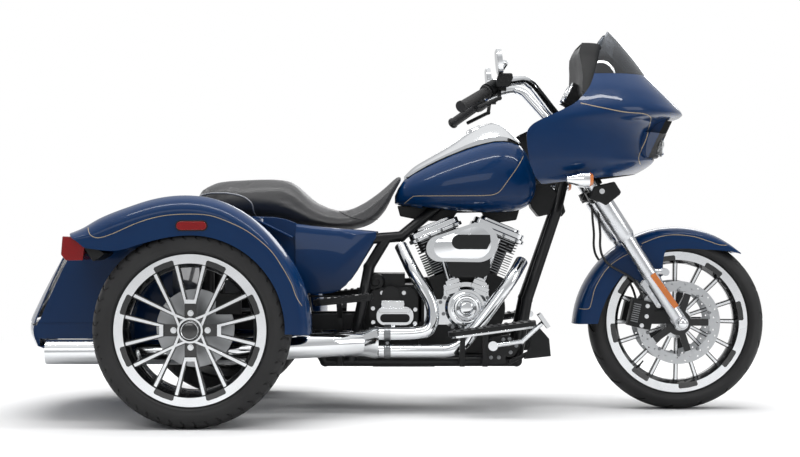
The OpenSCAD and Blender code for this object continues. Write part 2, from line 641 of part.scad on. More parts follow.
// Pivot of the brake pedal and the gear shifter, on a plate of the frame
pedal_x = 1014;
pedal_z = 246;
plate_y = 179;
module foot_controls() color("#c9cbcd") {
  // Brake pedal on the right
  rod([pedal_x, -plate_y - seat_gap, pedal_z], [pedal_x, -266, pedal_z], 17);
  chain([[pedal_x, -254, pedal_z], [1116, -262, 262], [1184, -300, 330]], 8);
  translate([1188, -300, 338]) rotate([0, -35, 0]) cube([14, 62, 56], center = true);
  // Gear shifter on the left
  rod([pedal_x, plate_y + seat_gap, pedal_z], [pedal_x, 266, pedal_z], 17);
  chain([[pedal_x, 254, pedal_z], [1116, 262, 262], [1184, 300, 330]], 8);
  rod([1186, 280, 332], [1186, 350, 332], 12);
}
module deflectors() color("#1a1b1d") both_sides() {
  across(0, 206, 0) linear_extrude(26)
    polygon([[1128, 196], [1222, 206], [1216, 268], [1172, 318], [1140, 322], [1150, 250]]);
  chain([[1078, low_rail_y + frame_r + seat_gap, low_rail_z], [1078, 193, low_rail_z], [1156, 193, 222]],
      8);
}

// FAIRING
// Columns: rear x, rear z, front x, front z and half width; x is from the front axle
fairing_rows = [[-327, 1203, -108, 1207, 272], [-350, 1153, -53, 1150, 332], [-398, 1098, -3, 1098, 376],
  [-448, 1069, 20, 1069, 394], [-495, 1047, -7, 1054, 404], [-537, 1027, -62, 1038, 409],
  [-565, 1005, -92, 1000, 412], [-574, 972, -103, 960, 412], [-565, 895, -99, 926, 402],
  [-552, 862, -81, 906, 380], [-535, 832, -111, 878, 345], [-513, 814, -150, 856, 300]];
fairing_fine = smooth(fairing_rows, 2);
function fairing_point(r, a) = let (c = pow(cos(a), 0.9), s = spow(sin(a), 0.9))
  [wheelbase + lerp(r[0], r[2], c), r[4] * s, lerp(r[1], r[3], c)];
fairing_cols = [-90, -82, -72, -61, -50, -39, -28, -18, -9, 0, 9, 18, 28, 39, 50, 61, 72, 82, 90];
fairing_grid = [for (r = fairing_fine) [for (a = fairing_cols) fairing_point(r, a)]];
fairing_in = shifted(fairing_grid, -panel_t);
pad_normal = grid_normal(fairing_in, 15, 13);
fairing_pad = fairing_in[15][13] - pad_normal * 2 * seat_gap;
dash_z = 1064;
module fairing_shell() color("#17406d") skin(fairing_grid, fairing_in);

// Columns: z, rear x, front x from the front axle, half width
dash_rows = [[dash_z, -322, -250, 336], [1095, -338, -195, 344], [1140, -372, -175, 312], [1190, -365,
    -165, 254],
  [1240, -366, -200, 216], [1290, -370, -246, 178], [1326, -355, -276, 132]];
module dash() color("#202124") {
  loft([for (r = smooth(dash_rows, 2)) concat(
    [for (a = [-90 : 15 : 90]) [wheelbase + lerp(r[1], r[2], pow(cos(a), 0.8)), r[3] * spow(sin(a), 0.8),
        r[0]]],
    [for (s = [0.5, 0, -0.5]) [wheelbase + r[1] + 6 * (1 - s*s), r[3] * s, r[0]]])]);
  // Gauge pods facing the rider
  both_sides() translate([wheelbase - 338, 66, 1122]) rotate([0, -62, 0]) cylinder(h = 66, r = 40);
}

// Columns: rear x, rear z, front x, front z and half width; x is from the front axle
screen_rows = [[-327, 1203, -108, 1207, 272], [-308, 1262, -148, 1262, 236], [-290, 1312, -188, 1312, 188],
  [-272, 1350, -221, 1352, 128], [-258, 1372, -243, 1377, 62]];
module windscreen() color("#3b3f44", 0.6) {
  g = [for (r = smooth(screen_rows, 2)) [for (a = fairing_cols) fairing_point(r, a) + [0, 0, seat_gap]]];
  skin(g, shifted(g, 4));
}

// Lamp body in the recess under the nose
lamp_grid = [for (i = [12 : 17]) [for (j = [6 : 12]) fairing_grid[i][j]]];
// How far the lamp stands out of the recess, from its top row down
lamp_out = [58, 56, 52, 44, 33, 22];
lamp_front = [for (i = [0 : 5]) [for (j = [0 : 6])
    lamp_grid[i][j] + [lamp_out[i] * (1 - 0.07 * pow(j - 3, 2)), 0, 0]]];
lens_c = [wheelbase - 40, 75.5, 957];
lens_r = 39;
module lens_bore(k) { both_sides() translate(lens_c - [70, 0, 0]) rotate([0, 90, 0]) cylinder(h = 110,
    r = lens_r + k); }
module headlamps() color("#151617") difference() {
  skin(lamp_front, shifted(lamp_grid, seat_gap));
  lens_bore(seat_gap / 2);
}
module headlamp_lenses() color("#e8ecef") both_sides() translate([wheelbase - 82, lens_c[1], lens_c[2]])
  rotate([0, 90, 0]) cylinder(h = 19, r = lens_r);

signal_c = [1306, 372, 828];
signal_seat = fairing_grid[20][16];
signal_normal = grid_normal(fairing_grid, 20, 16);
module turn_signals() color("#d8dadc") both_sides() {
  rod(signal_seat + signal_normal * 4.2, signal_c, 7);
  translate(signal_c) rotate([0, 90, 0]) {
    cylinder(h = 34, r = 27);
    translate([0, 0, 34]) cylinder(h = 12, r1 = 26, r2 = 18);
    translate([0, 0, -44]) cylinder(h = 44, r1 = 12, r2 = 27);
  }
}

// STEERED PARTS
module leg_frame() { translate(front_axle) rotate([0, -fork_angle, 0]) children(); }
// Distance up the leg at which it meets a height along the steering axis
axle_h = (front_tyre_r + trail * tan(head_angle)) * cos(head_angle);
function leg_at(h) = (h - axle_h) / cos(fork_angle - head_angle);
leg_top = leg_at(upper_clamp_h + clamp_t/2 + 12);
cover_low = 372;
cover_high = leg_at(lower_clamp_h - clamp_t/2 - 6);
module fork_leg(s) color("#c9cbcd") difference() {
  union() {
    leg_frame() translate([0, s * leg_y, 0]) {
      cylinder(h = cover_low + 4, r = slider_r);
      translate([0, 0, cover_low]) cylinder(h = cover_high - cover_low, r = cover_r);
      translate([0, 0, cover_low - 14]) cylinder(h = 14, r1 = slider_r + 1, r2 = cover_r);
      translate([0, 0, cover_high - 2]) cylinder(h = leg_top - cover_high + 2, r = tube_r);
      sphere(r = slider_r + 0.6);
    }
    across(wheelbase, s * leg_y + 28, front_tyre_r) cylinder(h = 56, r = 24);
    // Fender ears
    for (p = fender_bolts) translate([p[0], s * (fender_half + seat_gap), p[1]]) rotate([-90 * s, 0, 0])
      cylinder(h = leg_y - fender_half + 6, r = 13);
    for (p = fender_bolts) rod([p[0], s * (leg_y - 12), p[1]], [leg_x(p[1]), s * (leg_y - 8), p[1]], 12);
  }
  across(wheelbase, 300, front_tyre_r) cylinder(h = 600, r = front_axle_r + run_fit);
}
module fork_leg_right() fork_leg(-1);
module fork_leg_left() fork_leg(1);
fender_half = 85;
fender_bolts = [[wheelbase - 55, front_tyre_r + 184], [wheelbase - 126, front_tyre_r + 143]];

module triple_clamps() color("#1f2022") difference() {
  union() {
    on_steering_axis() {
      for (h = [lower_clamp_h, upper_clamp_h]) translate([0, 0, h - clamp_t/2]) linear_extrude(clamp_t) {
        circle(r = 42);
        for (s = [-1, 1]) translate([clamp_x(h), s * leg_y]) circle(r = tube_r + 16);
        translate([clamp_x(h) - 22, -leg_y]) square([44, 2 * leg_y]);
        translate([min(clamp_x(h), 0), -30]) square([abs(clamp_x(h)), 60]);
      }
      translate([0, 0, lower_clamp_h]) cylinder(h = upper_clamp_h - lower_clamp_h, r = stem_r);
    }
    // Handlebar risers
    for (s = [-1, 1]) rod([bar_base[0] + 22, s * 48, upper_clamp_z - 2], [bar_base[0], s * 48,
        bar_base[2]], 17);
    for (s = [-1, 1]) across(bar_base[0], s * 48 + 17, bar_base[2]) cylinder(h = 34, r = bar_r + 10);
  }
  for (s = [-1, 1]) leg_frame() translate([0, s * leg_y, 0]) cylinder(h = 1000, r = tube_r + run_fit);
  across(bar_base[0], 200, bar_base[2]) cylinder(h = 400, r = bar_r + seat_gap);
}
function clamp_x(h) = trail_offset() - (h - axle_h) * tan(fork_angle - head_angle);
function trail_offset() = -trail * cos(head_angle) + front_tyre_r * sin(head_angle);

// Front fender: columns are the angle about the axle, then edge and crown as distances out from the tread
front_fender_rows = [[48, 16, 21], [56, -7, 24], [70, -38, 26], [86, -51, 27], [100, -53, 28], [104, -87,
    28],
  [108, -139, 29], [120, -143, 31], [132, -139, 34], [136, -87, 35], [140, -53, 37], [155, -49, 44],
      [170, -39, 52],
  [181, -27, 59]];
function front_fender_point(r, q) = let (k = r[2] - min(46, (r[2] - r[1]) * 0.6))
  abs(q) >= 6 ? at_front(r[0], lerp(k, r[1], (abs(q) - 6) / 3), sign(q) * fender_half)
  : at_front(r[0], k + (r[2] - k) * pow(cos(abs(q) * 15), 0.7), sign(q) * fender_half * pow(sin(abs(q)
      * 15), 0.8));
function at_front(a, d, y) = [wheelbase + (front_tyre_r + d) * cos(a), y,
    front_tyre_r + (front_tyre_r + d) * sin(a)];
module front_fender() color("#17406d") {
  g = [for (r = front_fender_rows) [for (q = [-9 : 9]) front_fender_point(r, q)]];
  skin(g, shifted(g, 4));
}

module front_axle_pin() color("#d8dadc") {
  across(wheelbase, leg_y + 40, front_tyre_r) cylinder(h = 2 * leg_y + 80, r = front_axle_r);
  for (s = [-1, 1]) across(wheelbase, s * (leg_y + 28 + seat_gap/2 + 8) + 8, front_tyre_r)
      cylinder(h = 16, r = 20);
}
disc_y = 80;
module front_calipers() color("#17181a") both_sides() difference() {
  union() {
    translate([wheelbase, 0, front_tyre_r]) rotate([0, 13, 0]) translate([-184, 64, -50])
        cube([86, 48, 100]);
    translate([wheelbase - 120, 89, front_tyre_r - 3]) cube([86, 20, 47]);
  }
  across(wheelbase, disc_y + 3 + disc_gap, front_tyre_r) cylinder(h = 6 + 2*disc_gap,
      r = front_disc_r + disc_gap);
  leg_frame() translate([0, leg_y, 0]) cylinder(h = 400, r = slider_r + seat_gap/2);
}

// Handlebar: right half of its centre line, from the risers to the grip
bar_base = [axis_x(upper_clamp_z) - 52, 0, upper_clamp_z + 63];
grip_in = [wheelbase - 709, -340, 1133];
grip_end = [wheelbase - 802, -455, 1072];
grip_dir = unit(grip_end - grip_in);
bar_half = [bar_base + [0, -116, 0], bar_base + [-16, -134, 14], [wheelbase - 555, -188, 1190],
  grip_in - grip_dir * 104, grip_in];
module handlebar() color("#d8dadc") sweep(rounded(concat([for (i = [0 : 4]) bar_half[4 - i]],
  [for (p = bar_half) [p[0], -p[1], p[2]]]), 45, 4), bar_r, [1, 0, 0], 12);
module grips() color("#1b1c1e") both_sides() {
  a = bar_half[4] + grip_dir * seat_gap/2;
  rod(a, grip_end, 18);
  rod(a, a + grip_dir * 8, 24);
  rod(grip_end - grip_dir * 8, grip_end, 21);
}
control_dir = -grip_dir;
module hand_controls() color("#1b1c1e") both_sides() difference() {
  union() {
    rod(bar_half[4] + control_dir * 4, bar_half[4] + control_dir * 56, 27);
    translate(bar_half[4] + control_dir * 28) translate([14, -10, -6]) cube([40, 34, 34]);
    // Lever
    chain([bar_half[4] + [46, 18, 6], bar_half[4] + [44, -30, -24], grip_end + [58, 30, 0]], 7);
  }
  rod(bar_half[4] - control_dir * 20, bar_half[4] + control_dir * 100, bar_r + seat_gap);
}
mirror_foot = bar_half[4] + control_dir * 28 + [34, 7, 28 + seat_gap];
mirror_c = [wheelbase - 665, -352, 1236];
module mirrors() color("#d8dadc") both_sides() {
  sweep(rounded([mirror_foot, mirror_foot + [0, 0, 30], mirror_c + [30, 0, 0], mirror_c], 16, 3), 6, [0,
      1, 0], 8);
  translate(mirror_c) rotate([0, 84, 0]) translate([0, 0, -8]) linear_extrude(16) rounded_plate(84, 150,
      40);
}

// WHEELS
// Half section of a tyre: bead, then a superellipse over the tread
function tyre_section(r_out, r_bead, half, bead, r_wide, e) = concat([[r_bead, -bead], [r_bead + 18.4,
    -bead]],
  [for (i = [0 : 20]) let (a = 9 * i) [r_wide + (r_out - r_wide) * pow(sin(a), e), -half * spow(cos(a),
      e)]],
  [[r_bead + 18.4, bead], [r_bead, bead]]);
module rim_section(r, w) {
  polygon([[r - 30, -w/2], [r, -w/2], [r, -w/2 + 6], [r - 18, -w/2 + 8], [r - 18, -w/2 + 24], [r - 34,
      -w/2 + 36],
    [r - 34, w/2 - 36], [r - 18, w/2 - 24], [r - 18, w/2 - 8], [r, w/2 - 6], [r, w/2], [r - 30, w/2],
    [r - 44, w/2 - 30], [r - 44, -w/2 + 30]]);
}
// Straight bar in the wheel's plane, of half width wa at one end and wb at the other
module strip(a, b, wa, wb) {
  n = unit([a[1] - b[1], b[0] - a[0]]);
  polygon([a - n * wa, b - n * wb, b + n * wb, a + n * wa]);
}
function at_rim(r, a) = r * [cos(a), sin(a)];
// Front wheel: even spokes at the hub, in pairs at the rim; w is the half width
module front_spokes(w) {
  for (i = [0 : spoke_pairs - 1], s = [-1, 1]) let (c = 10 + i * 360 / spoke_pairs)
    strip(at_rim(54, c + 5 + s * 90 / spoke_pairs), at_rim(front_rim_r - 34, c + s * 10), w, w * 1.25);
  circle(r = 60);
}
// Rear wheel: four yokes and four forked spokes; places as shares of the rim's radius
module rear_spokes(w) for (q = [0 : 3]) rotate(90 * q) {
  for (s = [-1, 1]) {
    strip(rear_rim_r * [0.37, s * 0.062], at_rim(rear_rim_r - 32, s * 12), w, w * 1.3);
    strip(rear_rim_r * [0.205, 0.205], at_rim(rear_rim_r - 32, 45 + s * 13), w, w * 1.3);
    strip(rear_rim_r * [0.205, 0.205], at_rim(0.15 * rear_rim_r, 45 + s * 26), w, w);
  }
  translate([0.353 * rear_rim_r, -0.062 * rear_rim_r - w]) square([0.052 * rear_rim_r,
      0.124 * rear_rim_r + 2*w]);
}

spoke_depth = 30;
// Outer face of the rear spokes from the wheel's middle plane
rear_face = 86;
module front_rim() color("#1a1b1c") across(wheelbase, 0, front_tyre_r) difference() {
  union() {
    rotate_extrude() rim_section(front_rim_r, front_rim_w);
    translate([0, 0, -spoke_depth/2 + 5]) linear_extrude(spoke_depth - 10) front_spokes(spoke_w / 2);
    for (s = [0, 1]) mirror([0, 0, s]) translate([0, 0, spoke_depth/2 - 6]) linear_extrude(6)
        front_spokes(spoke_w / 4);
    cylinder(h = 2 * (disc_y - 3.2), r = 40, center = true);
  }
  cylinder(h = 400, r = front_axle_r + run_fit, center = true);
}
module front_tyre() color("#1b1b1c") across(wheelbase, 0, front_tyre_r) rotate_extrude()
  polygon(tyre_section(front_tyre_r, front_rim_r - 17.6, front_tyre_w/2, front_rim_w/2 - 8.4,
    lerp(front_rim_r, front_tyre_r, 0.35), 0.92));
module front_discs() color("#b9bbbd") both_sides() across(wheelbase, disc_y + 3, front_tyre_r)
    linear_extrude(6) difference() {
  union() {
    difference() {
      circle(r = front_disc_r);
      circle(r = front_disc_r - 36);
      for (i = [0 : 17]) rotate(i * 20) { translate([front_disc_r - 10, 0]) circle(r = 3); rotate(8)
          translate([front_disc_r - 22, 0]) circle(r = 3); }
    }
    for (i = [0 : 4]) rotate(i * 72) translate([30, -12]) square([front_disc_r - 64, 24]);
    circle(r = 46);
  }
  circle(r = 24);
}

module rear_rim_right() color("#1a1b1c") across(0, -wheel_y, rear_z) difference() {
  union() {
    rotate_extrude() rim_section(rear_rim_r, rear_rim_w);
    translate([0, 0, rear_face - spoke_depth]) linear_extrude(spoke_depth - 5) rear_spokes(spoke_w / 2);
    translate([0, 0, rear_face - 6]) linear_extrude(6) rear_spokes(spoke_w / 3.4);
    translate([0, 0, rear_face - 34]) linear_extrude(20) for (q = [0, 90]) rotate(q) square([186, 40],
        center = true);
    translate([0, 0, rear_disc_y - wheel_y + 3 + seat_gap/2])
        cylinder(h = rear_face + 3 + wheel_y - rear_disc_y, r = 42);
  }
  translate([0, 0, -100]) cylinder(h = 166, r = spindle_r + run_fit);
}
module rear_rim_left() mirror([0, 1, 0]) rear_rim_right();
module rear_tyre(s) color("#1b1b1c") across(0, s * wheel_y, rear_z) rotate_extrude()
  polygon(tyre_section(rear_tyre_r, rear_rim_r - 17.6, rear_tyre_w/2, rear_rim_w/2 - 8.4,
    lerp(rear_rim_r, rear_tyre_r, 0.4), 0.5));
module rear_tyre_right() rear_tyre(-1);
module rear_tyre_left() rear_tyre(1);
module rear_disc(s) color("#8b8d90") across(0, s * rear_disc_y + 3, rear_z) linear_extrude(6) difference() {
  circle(r = rear_disc_r);
  circle(r = 30);
}
module rear_disc_right() rear_disc(-1);
module rear_disc_left() rear_disc(1);

in_place() frame();
in_place() steering_head();
in_place() crankcase();
in_place() cylinders();
in_place() rocker_covers();
in_place() cam_cover();
in_place() air_cleaner();
in_place() gearbox();
in_place() primary_cover();
in_place() exhaust_headers();
in_place() mufflers();
in_place() fuel_tank();
in_place() tank_console();
in_place() seat();
in_place() rear_deck();
in_place() side_covers();
in_place() rear_fender_right();
in_place() rear_fender_left();
in_place() trunk_body();
in_place() trunk_lid();
in_place() tail_lamps();
in_place() side_markers();
in_place() rear_axle();
in_place() swingarm();
in_place() rear_shocks();
in_place() rear_calipers();
in_place() drive_belt();
in_place() rider_footboards();
in_place() passenger_footboards();
in_place() foot_controls();
in_place() deflectors();
in_place() fairing_shell();
in_place() dash();
in_place() windscreen();
in_place() headlamps();
in_place() headlamp_lenses();
in_place() turn_signals();
in_place() triple_clamps();
in_place() fork_leg_right();
in_place() fork_leg_left();
in_place() front_fender();
in_place() front_axle_pin();  // front_axle
in_place() front_calipers();
in_place() handlebar();
in_place() grips();
in_place() hand_controls();
in_place() mirrors();
in_place() front_rim();
in_place() front_tyre();
in_place() front_discs();
in_place() rear_rim_right();
in_place() rear_tyre_right();
in_place() rear_disc_right();
in_place() rear_rim_left();
in_place() rear_tyre_left();
in_place() rear_disc_left();
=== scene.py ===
import json
import math

import bmesh
import bpy
from mathutils import Matrix, Vector
from mathutils.bvhtree import BVHTree

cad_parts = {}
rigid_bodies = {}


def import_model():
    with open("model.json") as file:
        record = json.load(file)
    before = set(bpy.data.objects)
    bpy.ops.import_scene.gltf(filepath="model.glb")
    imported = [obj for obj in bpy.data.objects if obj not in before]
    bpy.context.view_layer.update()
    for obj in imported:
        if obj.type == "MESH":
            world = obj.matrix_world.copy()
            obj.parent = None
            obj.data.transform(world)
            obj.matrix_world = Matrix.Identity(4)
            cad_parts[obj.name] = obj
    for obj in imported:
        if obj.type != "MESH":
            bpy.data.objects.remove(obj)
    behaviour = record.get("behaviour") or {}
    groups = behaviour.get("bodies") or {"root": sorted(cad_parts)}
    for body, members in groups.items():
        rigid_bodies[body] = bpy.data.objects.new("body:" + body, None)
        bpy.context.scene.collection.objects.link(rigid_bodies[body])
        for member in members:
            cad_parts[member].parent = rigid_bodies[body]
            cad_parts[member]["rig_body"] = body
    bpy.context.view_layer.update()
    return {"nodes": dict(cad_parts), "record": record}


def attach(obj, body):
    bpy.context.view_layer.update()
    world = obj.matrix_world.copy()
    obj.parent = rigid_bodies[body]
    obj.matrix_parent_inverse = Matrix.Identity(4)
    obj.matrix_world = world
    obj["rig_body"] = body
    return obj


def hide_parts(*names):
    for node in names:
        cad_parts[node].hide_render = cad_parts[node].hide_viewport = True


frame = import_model()

# Studio: the trike stands side-on on a seamless pale floor under soft boxes, with a
# long lens at fork height looking square at its right side.
scene = bpy.context.scene
scene.view_settings.view_transform = "Standard"


def linear(code):
    """An sRGB hex colour as linear RGBA."""
    parts = [int(code[i:i + 2], 16) / 255 for i in (1, 3, 5)]
    return [c / 12.92 if c <= 0.04045 else ((c + 0.055) / 1.055) ** 2.4 for c in parts] + [1.0]


def add(tree, kind, inputs=None, **settings):
    """Adds one node: settings are its properties, and inputs are values or sockets to link."""
    made = tree.nodes.new(kind)
    for key, value in settings.items():
        setattr(made, key, value)
    for key, value in (inputs or {}).items():
        if isinstance(value, bpy.types.NodeSocket):
            tree.links.new(value, made.inputs[key])
        else:
            made.inputs[key].default_value = value
    return made


lens = bpy.data.cameras.new("side_lens")
lens.lens, lens.sensor_width, lens.sensor_fit = 76.08, 36.0, "HORIZONTAL"
lens.clip_end = 200
camera = bpy.data.objects.new("side_camera", lens)
camera.location, camera.rotation_euler = (0, -6.2, 0.659), (math.radians(90), 0, 0)
scene.collection.objects.link(camera)
scene.camera = camera

surround = bpy.data.worlds.new("white_studio")
surround.use_nodes = True
scene.world = surround
tree = surround.node_tree
tree.nodes.clear()
height = add(tree, "ShaderNodeSeparateXYZ", {
    "Vector": add(tree, "ShaderNodeTexCoord").outputs["Generated"]})
band = add(tree, "ShaderNodeValToRGB", {"Fac": height.outputs["Z"]})
stops = band.color_ramp.elements
stops[0].color, stops[1].color, stops[1].position = linear("#989a9c"), linear("#ffffff"), 0.8
for place, code in ((0.12, "#7c7e82"), (0.4, "#5e6064"), (0.6, "#a4a6aa")):
    stops.new(place).color = linear(code)
seen = add(tree, "ShaderNodeLightPath")
glance = add(tree, "ShaderNodeMath", {0: seen.outputs["Is Glossy Ray"], 1: 0.5}, operation="MULTIPLY")
straight = add(tree, "ShaderNodeMath", {
    0: seen.outputs["Is Camera Ray"], 1: seen.outputs["Is Transmission Ray"]}, operation="MAXIMUM")
plain = add(tree, "ShaderNodeMath", {0: straight.outputs[0], 1: glance.outputs[0]}, operation="MAXIMUM")
sky = add(tree, "ShaderNodeBackground", {"Color": band.outputs["Color"], "Strength": 1.05})
white = add(tree, "ShaderNodeBackground", {"Color": (1, 1, 1, 1), "Strength": 1.0})
add(tree, "ShaderNodeOutputWorld", {"Surface": add(tree, "ShaderNodeMixShader", {
    0: plain.outputs[0], 1: sky.outputs[0], 2: white.outputs[0]}).outputs[0]})

for name, place, aim, size, watts in (
        ("roof_box", (0.0, 0.8, 4.2), (0, 0, 0.5), (5.2, 3.0), 200),
        ("strip_box", (0.0, -1.0, 3.4), (0, -0.3, 0.7), (4.6, 0.13), 62),
        ("side_box", (-1.6, -5.6, 2.9), (0, 0, 0.6), (3.4, 1.6), 40),
        ("nose_box", (4.6, -2.6, 2.4), (0.4, 0, 0.6), (1.6, 2.2), 45),
        ("tail_box", (-4.6, 2.4, 2.6), (-0.4, 0, 0.6), (1.6, 2.2), 45),
        ("far_box", (1.2, 5.6, 2.9), (0, 0, 0.6), (3.4, 1.6), 55)):
    lamp = bpy.data.lights.new(name, "AREA")
    lamp.shape, lamp.size, lamp.size_y, lamp.energy = "RECTANGLE", size[0], size[1], watts
    box = bpy.data.objects.new(name, lamp)
    box.location = place
    box.rotation_euler = (Vector(aim) - Vector(place)).to_track_quat("-Z", "Y").to_euler()
    box.visible_camera, box.visible_glossy = False, name != "roof_box"
    scene.collection.objects.link(box)

floor_mesh = bmesh.new()
bmesh.ops.create_grid(floor_mesh, x_segments=8, y_segments=8, size=40)
mesh = bpy.data.meshes.new("studio_floor")
floor_mesh.to_mesh(mesh)
floor_mesh.free()
floor = bpy.data.objects.new("studio_floor", mesh)
scene.collection.objects.link(floor)
# Matt white paper sweep: bright all over, so only the soft shadows under the wheels show.
paper = bpy.data.materials.new("matt_paper_sweep")
paper.use_nodes = True
tree = paper.node_tree
tree.nodes.clear()
fibres_per_metre, pool_near, pool_far = 900.0, 1.7, 4.5
where = add(tree, "ShaderNodeTexCoord").outputs["Object"]
fibre = add(tree, "ShaderNodeTexNoise", {"Vector": where, "Scale": fibres_per_metre, "Detail": 2.0})
tone = add(tree, "ShaderNodeMix", {
    0: fibre.outputs["Fac"], 6: linear("#e4e4e4"), 7: linear("#e9e9e9")}, data_type="RGBA")
matt = add(tree, "ShaderNodeBsdfDiffuse", {"Color": tone.outputs[2], "Roughness": 0.9})
reach = add(tree, "ShaderNodeVectorMath", {0: where}, operation="LENGTH")
away = add(tree, "ShaderNodeMapRange", {
    "Value": reach.outputs["Value"], "From Min": pool_near, "From Max": pool_far},
           interpolation_type="SMOOTHSTEP")
path = add(tree, "ShaderNodeLightPath")
glint = add(tree, "ShaderNodeMath", {0: path.outputs["Is Glossy Ray"], 1: 0.5}, operation="MULTIPLY")
sight = add(tree, "ShaderNodeMath", {
    0: path.outputs["Is Camera Ray"], 1: glint.outputs[0]}, operation="MAXIMUM")
clear = add(tree, "ShaderNodeMath", {
    0: sight.outputs[0], 1: path.outputs["Is Transmission Ray"]}, operation="MAXIMUM")
fade = add(tree, "ShaderNodeMath", {0: clear.outputs[0], 1: away.outputs["Result"]}, operation="MULTIPLY")
glow = add(tree, "ShaderNodeEmission", {"Color": (1, 1, 1, 1), "Strength": 1.0})
add(tree, "ShaderNodeOutputMaterial", {"Surface": add(tree, "ShaderNodeMixShader", {
    0: fade.outputs[0], 1: matt.outputs[0], 2: glow.outputs[0]}).outputs[0]})
mesh.materials.append(paper)


# Frame: welded round steel tubes in a double cradle with a backbone and steering head,
# powder coated black and baked, so the edges are softened by the coat.
def bare(name):
    """A new material with nothing set: itself, its node tree, main shader and Object coordinates."""
    made = bpy.data.materials.new(name)
    made.use_nodes = True
    tree = made.node_tree
    shader = tree.nodes["Principled BSDF"]
    return made, tree, shader, add(tree, "ShaderNodeTexCoord").outputs["Object"]


def finish(name, grain_mm, colours, rough, bump=0.0, sockets=None):
    """A material whose tint and gloss drift over the piece, with a skin lifted by a noise of that grain."""
    drifts_per_metre = 9.0
    made, tree, shader, where = bare(name)
    wide = add(tree, "ShaderNodeTexNoise", {"Vector": where, "Scale": drifts_per_metre, "Detail": 4.0})
    tint = add(tree, "ShaderNodeMix", {
        0: wide.outputs["Fac"], 6: linear(colours[0]), 7: linear(colours[1])}, data_type="RGBA")
    tree.links.new(tint.outputs[2], shader.inputs["Base Color"])
    gloss = add(tree, "ShaderNodeMapRange", {
        "Value": wide.outputs["Fac"], "From Min": 0.3, "From Max": 0.7,
        "To Min": rough[0], "To Max": rough[1]})
    tree.links.new(gloss.outputs["Result"], shader.inputs["Roughness"])
    if bump:
        noise = add(tree, "ShaderNodeTexNoise", {"Vector": where, "Scale": 1000.0 / grain_mm, "Detail": 3.0})
        lift = add(tree, "ShaderNodeBump", {
            "Height": noise.outputs["Fac"], "Strength": bump, "Distance": grain_mm / 3000.0})
        tree.links.new(lift.outputs["Normal"], shader.inputs["Normal"])
    for socket, value in (sockets or {}).items():
        shader.inputs[socket].default_value = value
    return made


def merged(node):
    """A copy of a CAD node's triangles with their shared corners joined."""
    bm = bmesh.new()
    bm.from_mesh(frame["nodes"][node].data)
    bmesh.ops.remove_doubles(bm, verts=bm.verts, dist=4e-6)
    return bm


def shown(bm, name, look, body, slot, *nodes, sharp=33):
    """Writes a mesh out as a piece that rides on a body, with soft shading between its hard edges."""
    bm.normal_update()
    for face in bm.faces:
        face.smooth = True
    for edge in bm.edges:
        edge.smooth = len(edge.link_faces) == 2 and edge.calc_face_angle(3.0) < math.radians(sharp)
    mesh = bpy.data.meshes.new(name)
    bm.to_mesh(mesh)
    bm.free()
    for one in look if isinstance(look, (list, tuple)) else [look]:
        mesh.materials.append(one)
    piece = bpy.data.objects.new(name, mesh)
    scene.collection.objects.link(piece)
    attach(piece, body)
    if nodes:
        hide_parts(*nodes)
    return piece


slots = {row["node"]: row["material_slot"] for row in frame["record"]["subparts"]}


def broken_edges(piece, mm):
    """Rounds every edge of a piece that is sharper than 36 degrees by that much."""
    rounding = piece.modifiers.new("broken_edges", "BEVEL")
    rounding.width, rounding.segments, rounding.profile = mm / 1000, 2, 0.5
    rounding.limit_method, rounding.angle_limit = "ANGLE", math.radians(36)
    rounding.material, rounding.harden_normals = -1, True
    return piece


def flattened(node):
    """A merged copy of a CAD node with the triangles of each flat face joined."""
    bm = merged(node)
    bmesh.ops.dissolve_limit(bm, angle_limit=math.radians(0.7), verts=bm.verts, edges=bm.edges,
                             delimit={"NORMAL"})
    return bm


def dressed(node, look, edge_mm=1.2, mark=None):
    """A CAD node with its edges broken, as a casting or a pressing has them; mark picks a face's look."""
    bm = flattened(node)
    if mark:
        bm.normal_update()
        for face in bm.faces:
            face.material_index = mark(face)
    piece = shown(bm, node + "_piece", look, frame["nodes"][node]["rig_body"], slots[node], node)
    return broken_edges(piece, edge_mm)


# Powder coat: sprayed polyester baked on steel, a satin black with a faint orange peel.
powder_coat = finish("black_powder_coat", 2.5, ("#0c0d0e", "#131416"), (0.3, 0.42), 0.12, {
    "Specular IOR Level": 0.3})
for node in ("frame", "steering_head"):
    dressed(node, powder_coat, 1.5)


# Engine: a big air-cooled vee twin with its gearbox behind it, cast in aluminium alloy
# and enamelled black, with bright covers screwed to the right side.
# Wrinkle enamel: baked black paint that crazes as it cures and scatters the light.
wrinkle_enamel = finish("black_wrinkle_enamel", 1.4, ("#0c0d0e", "#141516"), (0.4, 0.52), 0.35, {
    "Specular IOR Level": 0.3})
# Chrome plate: mirror bright over polished metal, with faint wiping marks in the gloss.
chrome_plate = finish("chrome_plate", 30.0, ("#d6d8da", "#e6e8ea"), (0.04, 0.11), 0.0, {"Metallic": 1.0})
# Cut alloy: the fin edges and screw heads are bare metal, grey and a little dull.
cut_alloy = finish("cut_grey_alloy", 0.9, ("#6f7173", "#8b8d8f"), (0.3, 0.42), 0.08, {"Metallic": 1.0})


def fin_edge(face):
    """The narrow edge faces of the fins, where the casting was machined back to bare metal."""
    thinnest, thickest = 0.0022, 0.0034
    longest = max(edge.calc_length() for edge in face.edges)
    return int(thinnest < face.calc_area() / longest < thickest and face.normal.y < 0.2)


